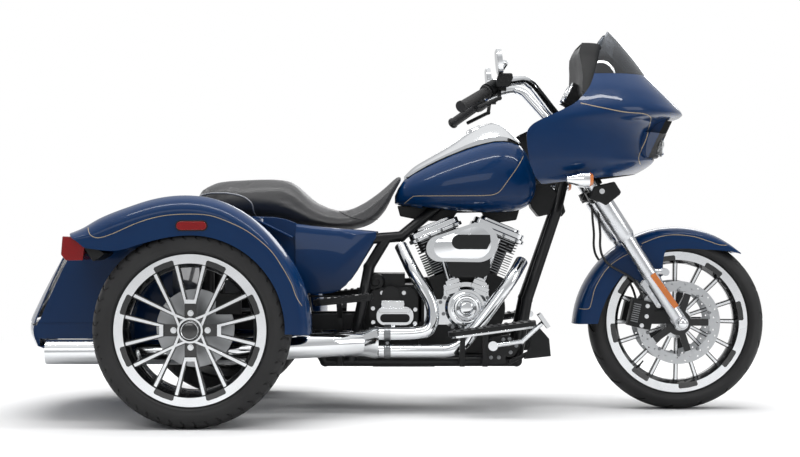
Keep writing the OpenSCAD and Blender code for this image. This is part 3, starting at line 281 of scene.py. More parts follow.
dressed("crankcase", wrinkle_enamel, 2.5)
dressed("cylinders", (wrinkle_enamel, cut_alloy), 0.5, fin_edge)
dressed("primary_cover", wrinkle_enamel, 4.0)
dressed("rocker_covers", chrome_plate, 3.0)
dressed("cam_cover", chrome_plate, 3.0)
cover = dressed("air_cleaner", (chrome_plate, wrinkle_enamel), 15.0, lambda face: int(
    face.calc_center_median().z < 0.536 or face.calc_center_median().y > -0.148))
cover.modifiers["broken_edges"].segments = 6
dressed("gearbox", (wrinkle_enamel, chrome_plate), 2.5, lambda face: int(
    face.calc_center_median().y < -0.1302 and face.calc_center_median().z < 0.385))


def slab(bm, outline, back, front):
    """A flat plate cut to an outline of (x, z) and standing between two distances across."""
    made = bm.faces.new([bm.verts.new((x, back, z)) for x, z in outline])
    pushed = bmesh.ops.extrude_face_region(bm, geom=[made])["geom"]
    bmesh.ops.translate(bm, vec=(0, front - back, 0),
                        verts=[v for v in pushed if isinstance(v, bmesh.types.BMVert)])
    bmesh.ops.recalc_face_normals(bm, faces=bm.faces)
    return bm


def pill(x, z, long, tall, radius, lean=0.0, steps=6):
    """The outline of a round-cornered plate, leaning by that many degrees."""
    turn = Matrix.Rotation(math.radians(lean), 2)
    line = []
    for right, up, start in ((1, 1, 0), (-1, 1, 90), (-1, -1, 180), (1, -1, 270)):
        for i in range(steps + 1):
            a = math.radians(start + 90 * i / steps)
            off = turn @ Vector((right * (long / 2 - radius) + radius * math.cos(a),
                                 up * (tall / 2 - radius) + radius * math.sin(a)))
            line.append((x + off.x, z + off.y))
    return line


def turned(bm, line, cent, steps=48, axis=(0, 1, 0)):
    """Spins a section line of (radius, distance along the axle) about an axle through cent."""
    along = Vector(axis).normalized()
    out = along.orthogonal().normalized()
    made = [bm.verts.new(Vector(cent) + out * r + along * d) for r, d in line]
    edges = [bm.edges.new(pair) for pair in zip(made, made[1:])]
    bmesh.ops.spin(bm, geom=made + edges, cent=cent, axis=along, angle=math.tau, steps=steps,
                   use_merge=True)
    bmesh.ops.remove_doubles(bm, verts=bm.verts, dist=1e-6)
    bmesh.ops.recalc_face_normals(bm, faces=bm.faces)
    return bm


def screws(bm, spots, radius, deep, out=(0, -1, 0)):
    """Hexagon screw heads on round washers, standing out of a surface."""
    turn = Vector(out).to_track_quat("Z", "Y").to_matrix().to_4x4()
    for spot in spots:
        base = Matrix.Translation(spot) @ turn
        bmesh.ops.create_cone(bm, cap_ends=True, segments=18, radius1=radius * 1.3, radius2=radius * 1.2,
                              depth=deep * 0.3, matrix=base @ Matrix.Translation((0, 0, deep * 0.15)))
        bmesh.ops.create_cone(bm, cap_ends=True, segments=6, radius1=radius, radius2=radius * 0.94,
                              depth=deep, matrix=base @ Matrix.Translation((0, 0, deep * 0.5)))
    return bm


# The air cleaner cover is crowned, so its plating shows bands of floor, horizon and roof.
crown_rise = 0.012
flat = max((face for face in cover.data.polygons if face.normal.y < -0.9), key=lambda face: face.area)
edge = [cover.data.vertices[i].co for i in flat.vertices]
middle = sum(edge, Vector()) / len(edge)
crown, rings = bmesh.new(), []
for share in (1.0, 0.94, 0.87, 0.78, 0.67, 0.54, 0.4, 0.25, 0.1):
    rise = Vector((0, crown_rise * (1 - share ** 2), 0))
    rings.append([crown.verts.new(middle.lerp(spot, share) - rise) for spot in edge])
for outer, inner in zip(rings, rings[1:]):
    for i in range(len(edge)):
        crown.faces.new((outer[i - 1], outer[i], inner[i], inner[i - 1]))
crown.faces.new(rings[-1])
bmesh.ops.recalc_face_normals(crown, faces=crown.faces)
crown.normal_update()
crown.faces.ensure_lookup_table()
if crown.faces[0].normal.y > 0:
    bmesh.ops.reverse_faces(crown, faces=crown.faces)
shown(crown, "air_cleaner_crown", chrome_plate, "chassis", "chrome", sharp=60)
# The air cleaner's plain black inset, pressed into the chrome cover.
inset_x, inset_z, inset_r, inset_stand = 0.208, 0.612, 0.026, 0.0145
inset = [(inset_x + inset_r * math.cos(a), inset_z + inset_r * math.sin(a))
         for a in (math.radians(90 + 18 * i) for i in range(11))]
inset += [(0.306, 0.586), (0.319, 0.612), (0.317, 0.637)]
broken_edges(shown(slab(bmesh.new(), inset, -0.240, middle.y - inset_stand), "air_cleaner_inset",
                   wrinkle_enamel, "chassis", "black_engine"), 1.2)

# Cam cover: raised rings turned on its round face, and the screws that hold it to the crankcase.
cam_x, cam_z, cam_face, cam_flange = 0.237, 0.375, -0.1745, -0.141
cam_circle = 0.084
rim = turned(bmesh.new(), [
    (0.0, -0.0072), (0.016, -0.0068), (0.024, -0.0046), (0.0265, 0.0), (0.033, 0.0005), (0.036, -0.005),
    (0.042, -0.006), (0.046, -0.001), (0.05, -0.0008), (0.053, -0.004), (0.0565, -0.003), (0.058, 0.003)],
    (cam_x, cam_face, cam_z))
shown(rim, "cam_cover_rings", chrome_plate, "chassis", "chrome", sharp=50)
spots = [(cam_x + cam_circle * math.cos(a), cam_flange, cam_z + cam_circle * math.sin(a))
         for a in (math.radians(d) for d in (-100, -50, -10, 25, 155, 195, 235))]
spots += [(cam_x + 0.03 * s, cam_face, cam_z) for s in (-1, 1)]
spots += [(0.105, cam_flange, z) for z in (0.33, 0.388)] + [(0.145, cam_flange, 0.395)]
heads = screws(bmesh.new(), spots, 0.0055, 0.006)
shown(heads, "cam_cover_screws", cut_alloy, "chassis", "chrome", sharp=20)

# Tappet blocks: two bright castings at the foot of the pushrod tubes, each with a clamped flange.
bm = bmesh.new()
for x, z, lean in ((0.188, 0.452, 17), (0.286, 0.448, -21)):
    slab(bm, pill(x, z, 0.066, 0.016, 0.005, lean), -0.148, -0.166)
    slab(bm, pill(x, z + 0.017, 0.05, 0.017, 0.005, lean), -0.146, -0.162)
    slab(bm, pill(x, z - 0.016, 0.046, 0.018, 0.005, lean), -0.140, -0.160)
broken_edges(shown(bm, "tappet_blocks", chrome_plate, "chassis", "chrome"), 1.2)

# Gearbox side cover: a bright cap with a black inset below and a screwed bar above.
bm = slab(bmesh.new(), pill(-0.026, 0.388, 0.082, 0.026, 0.004), -0.129, -0.146)
slab(bm, pill(-0.02, 0.366, 0.112, 0.016, 0.004), -0.129, -0.152)
broken_edges(shown(bm, "gearbox_bar", chrome_plate, "chassis", "chrome"), 1.5)
bm = slab(bmesh.new(), pill(-0.018, 0.338, 0.106, 0.03, 0.014), -0.1495, -0.1525)
broken_edges(shown(bm, "gearbox_inset", wrinkle_enamel, "chassis", "black_engine"), 1.0)
spots = [(-0.06, -0.1455, 0.388), (0.008, -0.1455, 0.388)]
spots += [(x, -0.1302, z) for x, z in (
    (-0.064, 0.428), (0.014, 0.428), (-0.097, 0.372), (0.055, 0.368), (-0.096, 0.322), (0.054, 0.318),
    (-0.025, 0.306))]
heads = screws(bmesh.new(), spots, 0.0062, 0.006)
shown(heads, "gearbox_screws", chrome_plate, "chassis", "chrome", sharp=20)
bm = turned(bmesh.new(), [
    (0.0, -0.029), (0.012, -0.029), (0.015, -0.025), (0.027, -0.025), (0.032, -0.02), (0.034, 0.0),
    (0.034, 0.012)], (-0.088, -0.105, 0.466))
shown(bm, "starter_motor_end", wrinkle_enamel, "chassis", "black_engine", sharp=30)

# Rocker boxes: cap screws along the lower flange, and a plug with its cap on the right of each head.
flange, plugs = bmesh.new(), bmesh.new()
crank_x, crank_z, half_vee = 0.241, 0.372, 22.5
for lean in (-half_vee, half_vee):
    lie = Matrix.Translation((crank_x, 0, crank_z)) @ Matrix.Rotation(math.radians(lean), 4, "Y")
    screws(flange, [lie @ Vector((x, -0.0862, 0.2935)) for x in (-0.072, -0.024, 0.024, 0.072)],
           0.0042, 0.004)
    turned(plugs, [
        (0.0, -0.03), (0.006, -0.03), (0.0065, -0.014), (0.0095, -0.012), (0.0105, 0.0), (0.0105, 0.006)],
        lie @ Vector((-0.05 if lean < 0 else 0.05, -0.068, 0.262)), 16)
shown(flange, "rocker_screws", cut_alloy, "chassis", "chrome", sharp=20)
shown(plugs, "spark_plugs", wrinkle_enamel, "chassis", "black_engine", sharp=40)


# Exhaust: two bent steel header pipes run into long mufflers, all chrome plated,
# with a clamp band where they join.
def panel(node, look, crease=38, levels=2, rounds=4):
    """A CAD node of coarse facets as a smooth pressing that still passes through its corners."""
    bm = merged(node)
    bmesh.ops.join_triangles(bm, faces=bm.faces, angle_face_threshold=math.radians(24),
                             angle_shape_threshold=math.radians(120))
    bm.normal_update()
    fold = bm.edges.layers.float.new("crease_edge")
    for edge in bm.edges:
        if len(edge.link_faces) != 2 or edge.calc_face_angle(3.0) > math.radians(crease):
            edge[fold] = 1.0
    corners = [vert.co.copy() for vert in bm.verts]
    piece = shown(bm, node + "_piece", look, frame["nodes"][node]["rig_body"], slots[node], node,
                  sharp=crease)
    skin = piece.modifiers.new("smooth_skin", "SUBSURF")
    skin.levels = skin.render_levels = 1
    for _ in range(rounds):
        bpy.context.view_layer.update()
        made = piece.evaluated_get(bpy.context.evaluated_depsgraph_get())
        spots = [made.data.vertices[i].co.copy() for i in range(len(corners))]
        for vert, spot, corner in zip(piece.data.vertices, spots, corners):
            vert.co += (corner - spot) * 0.8
    skin.levels = skin.render_levels = levels
    return piece


panel("exhaust_headers", chrome_plate)
dressed("mufflers", chrome_plate, 1.0)
bands = bmesh.new()
for z in (0.286, 0.226):
    turned(bands, [(0.0232, -0.012), (0.0262, -0.011), (0.0262, 0.011), (0.0232, 0.012), (0.0232, -0.012)],
           (-0.045, -0.226, z), 32, (1, 0, 0))
screws(bands, [(-0.045, -0.2525, 0.256)], 0.005, 0.005)
shown(bands, "header_bands", cut_alloy, "chassis", "chrome", sharp=30)

# Drive: a toothed rubber belt on the left turns the rear axle, which hangs in a welded swingarm on
# two shocks. The steel is coated black like the frame.
# Belt rubber: black and matt, with a fabric face.
belt_rubber = finish("black_belt_rubber", 2.0, ("#161617", "#202021"), (0.6, 0.7), 0.25)
dressed("drive_belt", belt_rubber, 0.8)
for node in ("swingarm", "rear_axle"):
    dressed(node, powder_coat, 1.5)
dressed("rear_shocks", powder_coat, 1.2)


# Rear wheels: one-piece cast alloy, enamelled gloss black, then the rim ring and the fronts of the
# spokes are skimmed bright in the lathe. Four nuts hold each one, round a plain pressed cap.
# Gloss enamel: smooth baked black with a wet shine.
gloss_enamel = finish("gloss_black_enamel", 2.0, ("#0e0f10", "#151617"), (0.14, 0.2), 0.02, {
    "Coat Weight": 0.6})
# Turned alloy: bare lathe-cut aluminium under clear lacquer, with fine rings that spread the highlights.
turned_alloy = finish("turned_bright_alloy", 0.8, ("#dcdee0", "#eaecee"), (0.2, 0.3), 0.03, {
    "Metallic": 1.0, "Coat Weight": 0.4})


def skimmed(face):
    """Faces square to the axle at the wheel's outer face are left bright."""
    skim_y = 0.664
    return int(abs(face.normal.y) > 0.97 and abs(face.calc_center_median().y) > skim_y)


def pockets(bm, x, z, degrees, half, near, far, back, front):
    """Black pockets in a bright rim ring: rounded sectors about an axle, between two radii."""
    for degree in degrees:
        rows = [(far - 0.004, -half), (far, -half + 1.2), (far, 0), (far, half - 1.2), (far - 0.004, half),
                (near, half), (near, 0), (near, -half)]
        turns = [(r, math.radians(degree + d)) for r, d in rows]
        slab(bm, [(x + r * math.cos(a), z + r * math.sin(a)) for r, a in turns], back, front)
    return bm


rear_axle_x, rear_axle_z, wheel_y = -0.687, 0.325, 0.58
# The axle's stub ends are turned down a hair where the hubs run on them.
stub_y, stub_r, turned_share = 0.49, 0.0202, 0.015
for vert in bpy.data.objects["rear_axle_piece"].data.vertices:
    off = Vector((vert.co.x - rear_axle_x, 0, vert.co.z - rear_axle_z))
    if abs(vert.co.y) > stub_y and off.length < stub_r:
        vert.co -= off * turned_share
nut_circle = 0.056
for side, word in ((-1, "right"), (1, "left")):
    body, outer_face = "rear_wheel_" + word, side * 0.669
    dressed("rear_rim_" + word, (gloss_enamel, turned_alloy), 1.5, skimmed)
    bm = pockets(bmesh.new(), rear_axle_x, rear_axle_z, [90 * q + d for q in range(4) for d in (22, 68)],
                 half=8.6, near=0.2185, far=0.237, back=side * 0.672, front=side * 0.6756)
    shown(bm, "rim_pockets_" + word, gloss_enamel, body, "wheel_black")
    spots = [(rear_axle_x + nut_circle * math.cos(a), side * 0.652, rear_axle_z + nut_circle * math.sin(a))
             for a in (math.radians(90 * i) for i in range(4))]
    bm = screws(bmesh.new(), spots, 0.0085, 0.012, (0, side, 0))
    shown(bm, "wheel_nuts_" + word, chrome_plate, body, "chrome", sharp=20)
    bm = turned(bmesh.new(), [
        (0.0, side * 0.0155), (0.012, side * 0.0155), (0.026, side * 0.0135), (0.033, side * 0.009),
        (0.0365, side * 0.002), (0.0375, -side * 0.006), (0.0, -side * 0.006)],
        (rear_axle_x, outer_face, rear_axle_z))
    shown(bm, "hub_cap_" + word, gloss_enamel, body, "wheel_black", sharp=40)
    bm = turned(bmesh.new(), [(0.027, side * 0.0137), (0.0285, side * 0.0148), (0.030, side * 0.0128)],
                (rear_axle_x, outer_face, rear_axle_z))
    shown(bm, "hub_cap_ring_" + word, turned_alloy, body, "chrome", sharp=60)


# Tyres: moulded rubber over a steel belt, with grooves and wall ribs pressed by the mould, seated on
# the rims by their beads.
# Tyre rubber: black compound, dull, with a dusty bloom and fine mould texture.
tyre_rubber = finish("black_tyre_rubber", 1.8, ("#0e0e0f", "#161617"), (0.6, 0.74), 0.2)


def signed_power(value, power):
    """A power that keeps the sign of its value."""
    return math.copysign(abs(value) ** power, value)


def tyre(name, node, cent, radius, half, bead_r, bead, wide_r, power, steps, ribs, cut, slant, sinks=()):
    """Spins a tyre's section, slants its tread and sinks the chosen strips of it as grooves."""
    flange, groove_deep = 0.0184, 0.004
    line = [(bead_r, -bead), (bead_r + flange, -bead)]
    for share, lift in ribs:
        line.append((bead_r + flange + (wide_r - bead_r - flange) * share,
                     -bead - (half - bead) * (share ** 0.6) - lift))
    crown = []
    for i in range(41):
        a = math.radians(4.5 * i)
        crown.append((wide_r + (radius - wide_r) * math.sin(a) ** power,
                      -half * signed_power(math.cos(a), power)))
    for spot, width, deep in sinks:
        for j, (r, y) in enumerate(crown):
            if abs(y - spot) < width:
                crown[j] = (r - deep, y)
    line += crown
    line += [(r, -y) for r, y in reversed(line[:2 + len(ribs)])]
    line.append(line[0])
    bm = turned(bmesh.new(), line, cent, steps)
    pitch = math.tau / steps

    def lean(y, far):
        """The turn that slants the tread at that place across it and that far from the axle."""
        return slant * min(abs(y), half) / half * min(1.0, (far - wide_r) / (0.6 * (radius - wide_r)))

    spin_by = {}
    for vert in bm.verts:
        off = vert.co - Vector(cent)
        far = math.hypot(off.x, off.z)
        if far > wide_r:
            spin_by[vert] = lean(off.y, far)
    for vert, angle in spin_by.items():
        vert.co = Vector(cent) + Matrix.Rotation(angle, 3, "Y") @ (vert.co - Vector(cent))
    grooves = []
    for face in bm.faces:
        off = face.calc_center_median() - Vector(cent)
        far = math.hypot(off.x, off.z)
        if far > wide_r + 0.35 * (radius - wide_r):
            column = math.floor((math.atan2(off.x, off.z) - lean(off.y, far)) / pitch)
            if cut(column % steps, off.y / half):
                grooves.append(face)
    bmesh.ops.inset_region(bm, faces=grooves, thickness=0.0012, depth=-groove_deep,
                           use_even_offset=True)
    shown(bm, name, tyre_rubber, frame["nodes"][node]["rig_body"], slots[node], node, sharp=40)


for side, word in ((-1, "right"), (1, "left")):
    tyre("road_tyre_rear_" + word, "rear_tyre_" + word, (rear_axle_x, side * wheel_y, rear_axle_z),
         radius=0.325, half=0.1075, bead_r=0.2324, bead=0.0866, wide_r=0.28, power=0.5, steps=192,
         ribs=((0.2, 0.002), (0.35, 0.0035), (0.5, 0.001), (0.75, 0.0012)),
         cut=lambda i, y: i % 4 == 0 and 0.62 < abs(y) < 0.99, slant=math.radians(-5),
         sinks=((-0.046, 0.005, 0.006), (0.0, 0.005, 0.006), (0.046, 0.005, 0.006)))


# Rear brakes: a ground steel disc beside each rear wheel, and black enamelled calipers that
# straddle them.
# Ground steel: grey plate surface-ground in a fine swirl, dull bright.
ground_steel = finish("ground_brake_steel", 1.0, ("#9d9fa1", "#b5b7b9"), (0.26, 0.38), 0.06, {
    "Metallic": 1.0})
for node in ("rear_disc_right", "rear_disc_left"):
    dressed(node, ground_steel, 0.5)
dressed("rear_calipers", wrinkle_enamel, 2.0)


# Rear body: pressed fenders and a trunk with a hinged lid, all in one gloss blue, bolted to the frame.
# Metallic lacquer: blue base coat with fine flake under a thick clear coat, so it reads as deep and wet.
blue_lacquer = finish("blue_metallic_lacquer", 1.2, ("#00244b", "#022950"), (0.3, 0.36), 0.03, {
    "Specular IOR Level": 0.1, "Coat Weight": 0.8, "Coat IOR": 1.26, "Coat Roughness": 0.03})
fenders = [panel("rear_fender_" + word, blue_lacquer) for word in ("right", "left")]
for node in ("trunk_body", "trunk_lid", "rear_deck", "side_covers"):
    dressed(node, blue_lacquer, 2.5)
# Closing panels: lacquered steel, one ahead of each fender beside the seat, and one on each flank
# of the tail under the trunk.
bm = bmesh.new()
for side in (-1, 1):
    slab(bm, [(-0.478, 0.7), (-0.44, 0.699), (-0.4, 0.692), (-0.362, 0.678), (-0.362, 0.5), (-0.4, 0.5),
              (-0.45, 0.56), (-0.478, 0.62)], side * 0.286, side * 0.296)
    slab(bm, [(-1.248, 0.326), (-1.24, 0.337), (-0.784, 0.337), (-0.784, 0.2805), (-1.236, 0.2805),
              (-1.248, 0.29)], side * 0.386, side * 0.4025)
broken_edges(shown(bm, "closing_panels", blue_lacquer, "chassis", "blue_paint"), 3.0)

# Pinstripes: a narrow line of tan enamel drawn with a sword brush over the blue.
# Tan enamel: satin, a shade paler where the brush was full.
tan_enamel = finish("tan_line_enamel", 6.0, ("#8d7f68", "#a3947b"), (0.28, 0.36))


def drawn(points, step):
    """A smooth line through places, in even steps of about that length in the units of the places."""
    line = []
    for i in range(len(points) - 1):
        a, b, c, d = (Vector(points[max(0, min(len(points) - 1, i + k))]) for k in (-1, 0, 1, 2))
        count = max(1, round((c - b).length / step))
        for j in range(count):
            t = j / count
            line.append(0.5 * (2 * b + (c - a) * t + (2 * a - 5 * b + 4 * c - d) * t * t
                               + (3 * b - a - 3 * c + d) * t ** 3))
    return line + [Vector(points[-1])]


def laid(carriers, points, step_mm, side):
    """Where a line of (x, z) places in mm meets panels when pushed in from one side, with their normals."""
    spots, far_off = [], 2.0
    skins = [BVHTree.FromObject(one, bpy.context.evaluated_depsgraph_get()) for one in carriers]
    for x, z in drawn(points, step_mm):
        start = Vector((x / 1000, side * far_off, z / 1000))
        hits = [skin.ray_cast(start, Vector((0, -side, 0))) for skin in skins]
        hits = [hit for hit in hits if hit[0] is not None]
        if hits:
            near = max(hits, key=lambda hit: side * hit[0].y)
            spots.append((near[0], near[1]))
    return spots


def pinstripe(name, carriers, points, body="chassis", wide=0.0024, lift=0.0005):
    """A painted line: a thin ribbon that lies on a panel, the same on both sides of the trike."""
    bm = bmesh.new()
    for side in (-1, 1):
        spots = laid(carriers, points, 6.0, side)
        last = len(spots) - 1
        strip = bmesh.ops.create_grid(bm, x_segments=last, y_segments=1, size=1.0)["verts"]
        for vert in strip:
            i = round((vert.co.x + 1) / 2 * last)
            hit, normal = spots[i]
            run = spots[min(i + 1, last)][0] - spots[max(i - 1, 0)][0]
            edge = normal.cross(run).normalized() * wide / 2
            vert.co = hit + normal * lift + (edge if vert.co.y > 0 else -edge)
        bm.normal_update()
        for face in {face for vert in strip for face in vert.link_faces}:
            if face.normal.y * side < 0:
                face.normal_flip()
    shown(bm, name, tan_enamel, body, "blue_paint", sharp=60)


pinstripe("rear_fender_lines", fenders, (
    (-1021, 662), (-1008, 638), (-980, 629), (-934, 643), (-851, 679), (-774, 700), (-690, 706), (-619, 701),
    (-555, 679), (-491, 646), (-426, 592), (-388, 540), (-355, 482), (-338, 437), (-320, 407)))

# Rear lamps: red acrylic lenses on a black moulded filler that closes the tail of each fender.
# Red acrylic: clear-coated and smooth, with a fine fluted pattern moulded inside.
red_acrylic = finish("red_acrylic_lens", 5.0, ("#720609", "#880a0e"), (0.1, 0.16), 0.15, {
    "Specular IOR Level": 0.1, "Coat Weight": 0.5, "Subsurface Weight": 0.15,
    "Subsurface Radius": (0.008, 0.002, 0.001)})
dressed("tail_lamps", red_acrylic, 2.5)
dressed("side_markers", red_acrylic, 2.5)
# Moulded nylon: black with a fine spark-eroded grain.
moulded_nylon = finish("black_moulded_nylon", 0.9, ("#0d0e0f", "#151617"), (0.42, 0.52), 0.2, {
    "Specular IOR Level": 0.25})
bm = bmesh.new()
for side in (-1, 1):
    slab(bm, [(-1.045, 0.619), (-1.034, 0.594), (-1.006, 0.552), (-0.984, 0.563), (-0.968, 0.578),
              (-1.002, 0.6)], side * 0.47, side * 0.664)
    slab(bm, pill(-0.679, 0.668, 0.106, 0.036, 0.017), side * 0.694, side * 0.6985)
broken_edges(shown(bm, "lamp_fillers", moulded_nylon, "chassis", "black_plastic"), 1.5)


# Fuel tank: two pressed steel halves seam-welded and lacquered blue, with a chrome console along
# its top in a moulded welt, and a turned filler cap.
tank = dressed("fuel_tank", blue_lacquer, 1.5)
pinstripe("tank_lines", (tank,), (
    (445, 921), (416, 873), (387, 833), (359, 795), (339, 782), (307, 777), (225, 776), (143, 776),
    (60, 776), (46, 773), (31, 762), (14, 748)))
panel("tank_console", chrome_plate)
cap = turned(bmesh.new(), [
    (0.0, 0.011), (0.012, 0.0103), (0.024, 0.0075), (0.0295, 0.003), (0.0305, -0.002), (0.0335, -0.002),
    (0.036, -0.005), (0.036, -0.016)], (0.27, 0, 1.02), 48, (-0.447, 0, 0.894))
shown(cap, "filler_cap", chrome_plate, "chassis", "chrome", sharp=40)


def round_line(name, spots, radius, look, body, closed=False, facets=2):
    """A welt, a bead or a hose: a curve of that radius through its places, which rides on a body."""
    line = bpy.data.curves.new(name, "CURVE")
    line.dimensions, line.bevel_depth, line.bevel_resolution = "3D", radius, facets
    line.use_fill_caps = not closed
    run = line.splines.new("POLY")
    run.points.add(len(spots) - 1)
    run.use_cyclic_u = closed
    for point, spot in zip(run.points, spots):
        point.co = (*spot, 1.0)
    line.materials.append(look)
    piece = bpy.data.objects.new(name, line)
    scene.collection.objects.link(piece)
    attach(piece, body)
    return piece


half_welt = [
    (0.022, 0.03, 0.846), (0.03, 0.049, 0.843), (0.065, 0.056, 0.865), (0.1, 0.06, 0.885),
    (0.135, 0.065, 0.902), (0.17, 0.068, 0.918), (0.205, 0.0705, 0.932), (0.24, 0.073, 0.946),
    (0.275, 0.0745, 0.957), (0.31, 0.0755, 0.966), (0.345, 0.0755, 0.973), (0.38, 0.075, 0.974),
    (0.415, 0.0745, 0.966), (0.431, 0.06, 0.967), (0.436, 0.03, 0.971)]
round_line("console_welt", half_welt + [(x, -y, z) for x, y, z in reversed(half_welt)], 0.0035,
           moulded_nylon, "chassis", closed=True)

# Neck cover: a black moulding that closes the gap between the tank and the steering head and hides
# the wiring, with a tray for the harness under the tank.
bm = slab(bmesh.new(), [
    (0.462, 0.79), (0.478, 0.826), (0.545, 0.816), (0.588, 0.772), (0.602, 0.72), (0.588, 0.702),
    (0.54, 0.71), (0.505, 0.702), (0.478, 0.735)], -0.055, 0.055)
slab(bm, [
    (-0.01, 0.742), (0.0, 0.704), (0.06, 0.692), (0.12, 0.686), (0.19, 0.69), (0.207, 0.716), (0.3, 0.718),
    (0.31, 0.69), (0.36, 0.68), (0.425, 0.69), (0.44, 0.742)], -0.03, 0.03)
broken_edges(shown(bm, "neck_cover", moulded_nylon, "chassis", "black_plastic"), 4.0)

# Seat: moulded foam for two under stretched black vinyl, stapled to a pan and bolted to the frame,
# with piping sewn round the pillion and a seam across the rider's part.
# Grained vinyl: black PVC on knit backing, embossed like leather, with a soft sheen.
black_vinyl, tree, shader, where = bare("black_grained_vinyl")
pores = add(tree, "ShaderNodeTexVoronoi", {"Vector": where, "Scale": 1000 / 2.2, "Randomness": 1.0})
wide = add(tree, "ShaderNodeTexNoise", {"Vector": where, "Scale": 7.0, "Detail": 4.0})
tint = add(tree, "ShaderNodeMix", {
    0: wide.outputs["Fac"], 6: linear("#18181a"), 7: linear("#232325")}, data_type="RGBA")
tree.links.new(tint.outputs[2], shader.inputs["Base Color"])
gloss = add(tree, "ShaderNodeMapRange", {
    "Value": wide.outputs["Fac"], "From Min": 0.3, "From Max": 0.7, "To Min": 0.42, "To Max": 0.54})
tree.links.new(gloss.outputs["Result"], shader.inputs["Roughness"])
lift = add(tree, "ShaderNodeBump", {
    "Height": pores.outputs["Distance"], "Strength": 0.35, "Distance": 0.0006})
tree.links.new(lift.outputs["Normal"], shader.inputs["Normal"])
shader.inputs["Specular IOR Level"].default_value = 0.8
shader.inputs["Sheen Weight"].default_value = 0.12

# The foam starts a little inside the solid, and the cloth run pushes the cover back out.
room, skin_step = 0.004, 0.0065
bm = merged("seat")
bm.normal_update()
outward = {vert: vert.normal.copy() for vert in bm.verts}
for vert in bm.verts:
    vert.co -= outward[vert] * room
seat = shown(bm, "seat_cushion", black_vinyl, "chassis", slots["seat"], "seat", sharp=180)
bpy.context.view_layer.objects.active = seat
shell = seat.modifiers.new("even_skin", "REMESH")
shell.mode, shell.voxel_size, shell.use_smooth_shade = "VOXEL", skin_step, True


def settled(piece):
    """Applies every modifier of a piece to its mesh."""
    bpy.context.view_layer.update()
    made = bpy.data.meshes.new_from_object(piece.evaluated_get(bpy.context.evaluated_depsgraph_get()))
    piece.modifiers.clear()
    old, piece.data = piece.data, made
    bpy.data.meshes.remove(old)


settled(seat)
rest = [vert.co.copy() for vert in seat.data.vertices]
furthest_push, push_frames = 0.006, 20
held = seat.vertex_groups.new(name="stapled_edge")
base = [vert.index for vert in seat.data.vertices if vert.normal.z < -0.25]
held.add(base, 1.0, "REPLACE")
foam = seat.modifiers.new("foam_push", "CLOTH")
foam.settings.use_pressure, foam.settings.uniform_pressure_force = True, 4.0
foam.settings.effector_weights.gravity = 0.0
foam.settings.vertex_group_mass = held.name
foam.settings.quality = 4
foam.settings.mass = 0.3
foam.settings.tension_stiffness = foam.settings.compression_stiffness = 30
foam.point_cache.frame_start, foam.point_cache.frame_end = 1, push_frames
for moment in range(1, push_frames + 1):
    scene.frame_set(moment)
settled(seat)
scene.frame_set(1)
seat.vertex_groups.clear()
for vert, before in zip(seat.data.vertices, rest):
    off = vert.co - before
    vert.co = before + (off if off.length < furthest_push else off.normalized() * furthest_push)
soft = bmesh.new()
soft.from_mesh(seat.data)
bmesh.ops.smooth_vert(soft, verts=soft.verts, factor=0.4, use_axis_x=True, use_axis_y=True,
                      use_axis_z=True)
for face in soft.faces:
    face.smooth = True
soft.to_mesh(seat.data)
soft.free()
seat.data.materials.clear()
seat.data.materials.append(black_vinyl)
finer = seat.modifiers.new("finer_skin", "SUBSURF")
finer.levels = finer.render_levels = 1


def beading(name, points, radius, look):
    """Piping or a seam pressed part-way into the seat along a line of (x, z) places, on both sides."""
    sink, step_mm = 0.3, 8.0
    for side, word in ((-1, "right"), (1, "left")):
        spots = [hit + normal * radius * (1 - 2 * sink)
                 for hit, normal in laid((seat,), points, step_mm, side)]
        round_line(name + "_" + word, spots, radius, look, "chassis")


# Piping cord: grey vinyl, a shade shinier than the seat.
grey_piping = finish("grey_vinyl_piping", 2.0, ("#808286", "#94969a"), (0.3, 0.4), 0.1)
beading("seat_piping", (
    (-735, 742), (-724, 772), (-700, 782), (-660, 786), (-610, 784), (-560, 772), (-530, 748), (-524, 716),
    (-512, 692)), 0.0028, grey_piping)
beading("seat_seam", ((-330, 800), (-270, 760), (-196, 708), (-120, 690), (-60, 700)), 0.002, black_vinyl)


# Footboards: black moulded boards with ribbed rubber pads on steel brackets, the rider's edged below
# with a bright strip. The pedals are chrome plated, and the deflectors ahead of them are moulded.
board_x, board_z, board_tilt = 0.319, 0.312, 7.6
tilt = math.radians(board_tilt)


def strip_below(face):
    """The bright edging plate under a rider's board."""
    off = face.calc_center_median() - Vector((board_x, 0, board_z))
    deep = off.z * math.cos(tilt) - off.x * math.sin(tilt)
    return int(-0.0152 < deep < -0.0068 and abs(face.calc_center_median().y) > 0.274)


dressed("rider_footboards", (moulded_nylon, chrome_plate), 1.5, strip_below)
dressed("passenger_footboards", moulded_nylon, 1.5)
dressed("foot_controls", chrome_plate, 1.5)
dressed("deflectors", moulded_nylon, 2.0)
# Moulded rubber: black, dull, with a dusty bloom.
soft_rubber = finish("black_moulded_rubber", 1.6, ("#171718", "#212122"), (0.6, 0.72), 0.2)
ribs = bmesh.new()
for side in (-1, 1):
    for x, y, z, lean, long, wide, count in (
            (board_x, 0.336, board_z, board_tilt, 0.262, 0.084, 11),
            (-0.197, 0.35, 0.414, 6.0, 0.17, 0.06, 8)):
        lie = Matrix.Translation((x, side * y, z)) @ Matrix.Rotation(math.radians(-lean), 4, "Y")
        for i in range(count):
            step = -long / 2 + long * i / (count - 1)
            across = wide * (1 - 0.5 * abs(step / long) ** 2)
            bmesh.ops.create_cube(ribs, size=1.0, matrix=lie @ Matrix.Translation((step, 0, 0.0096))
                                  @ Matrix.Diagonal((0.011, across, 0.005, 1)))
broken_edges(shown(ribs, "board_pad_ribs", soft_rubber, "chassis", "grip_rubber"), 1.6)

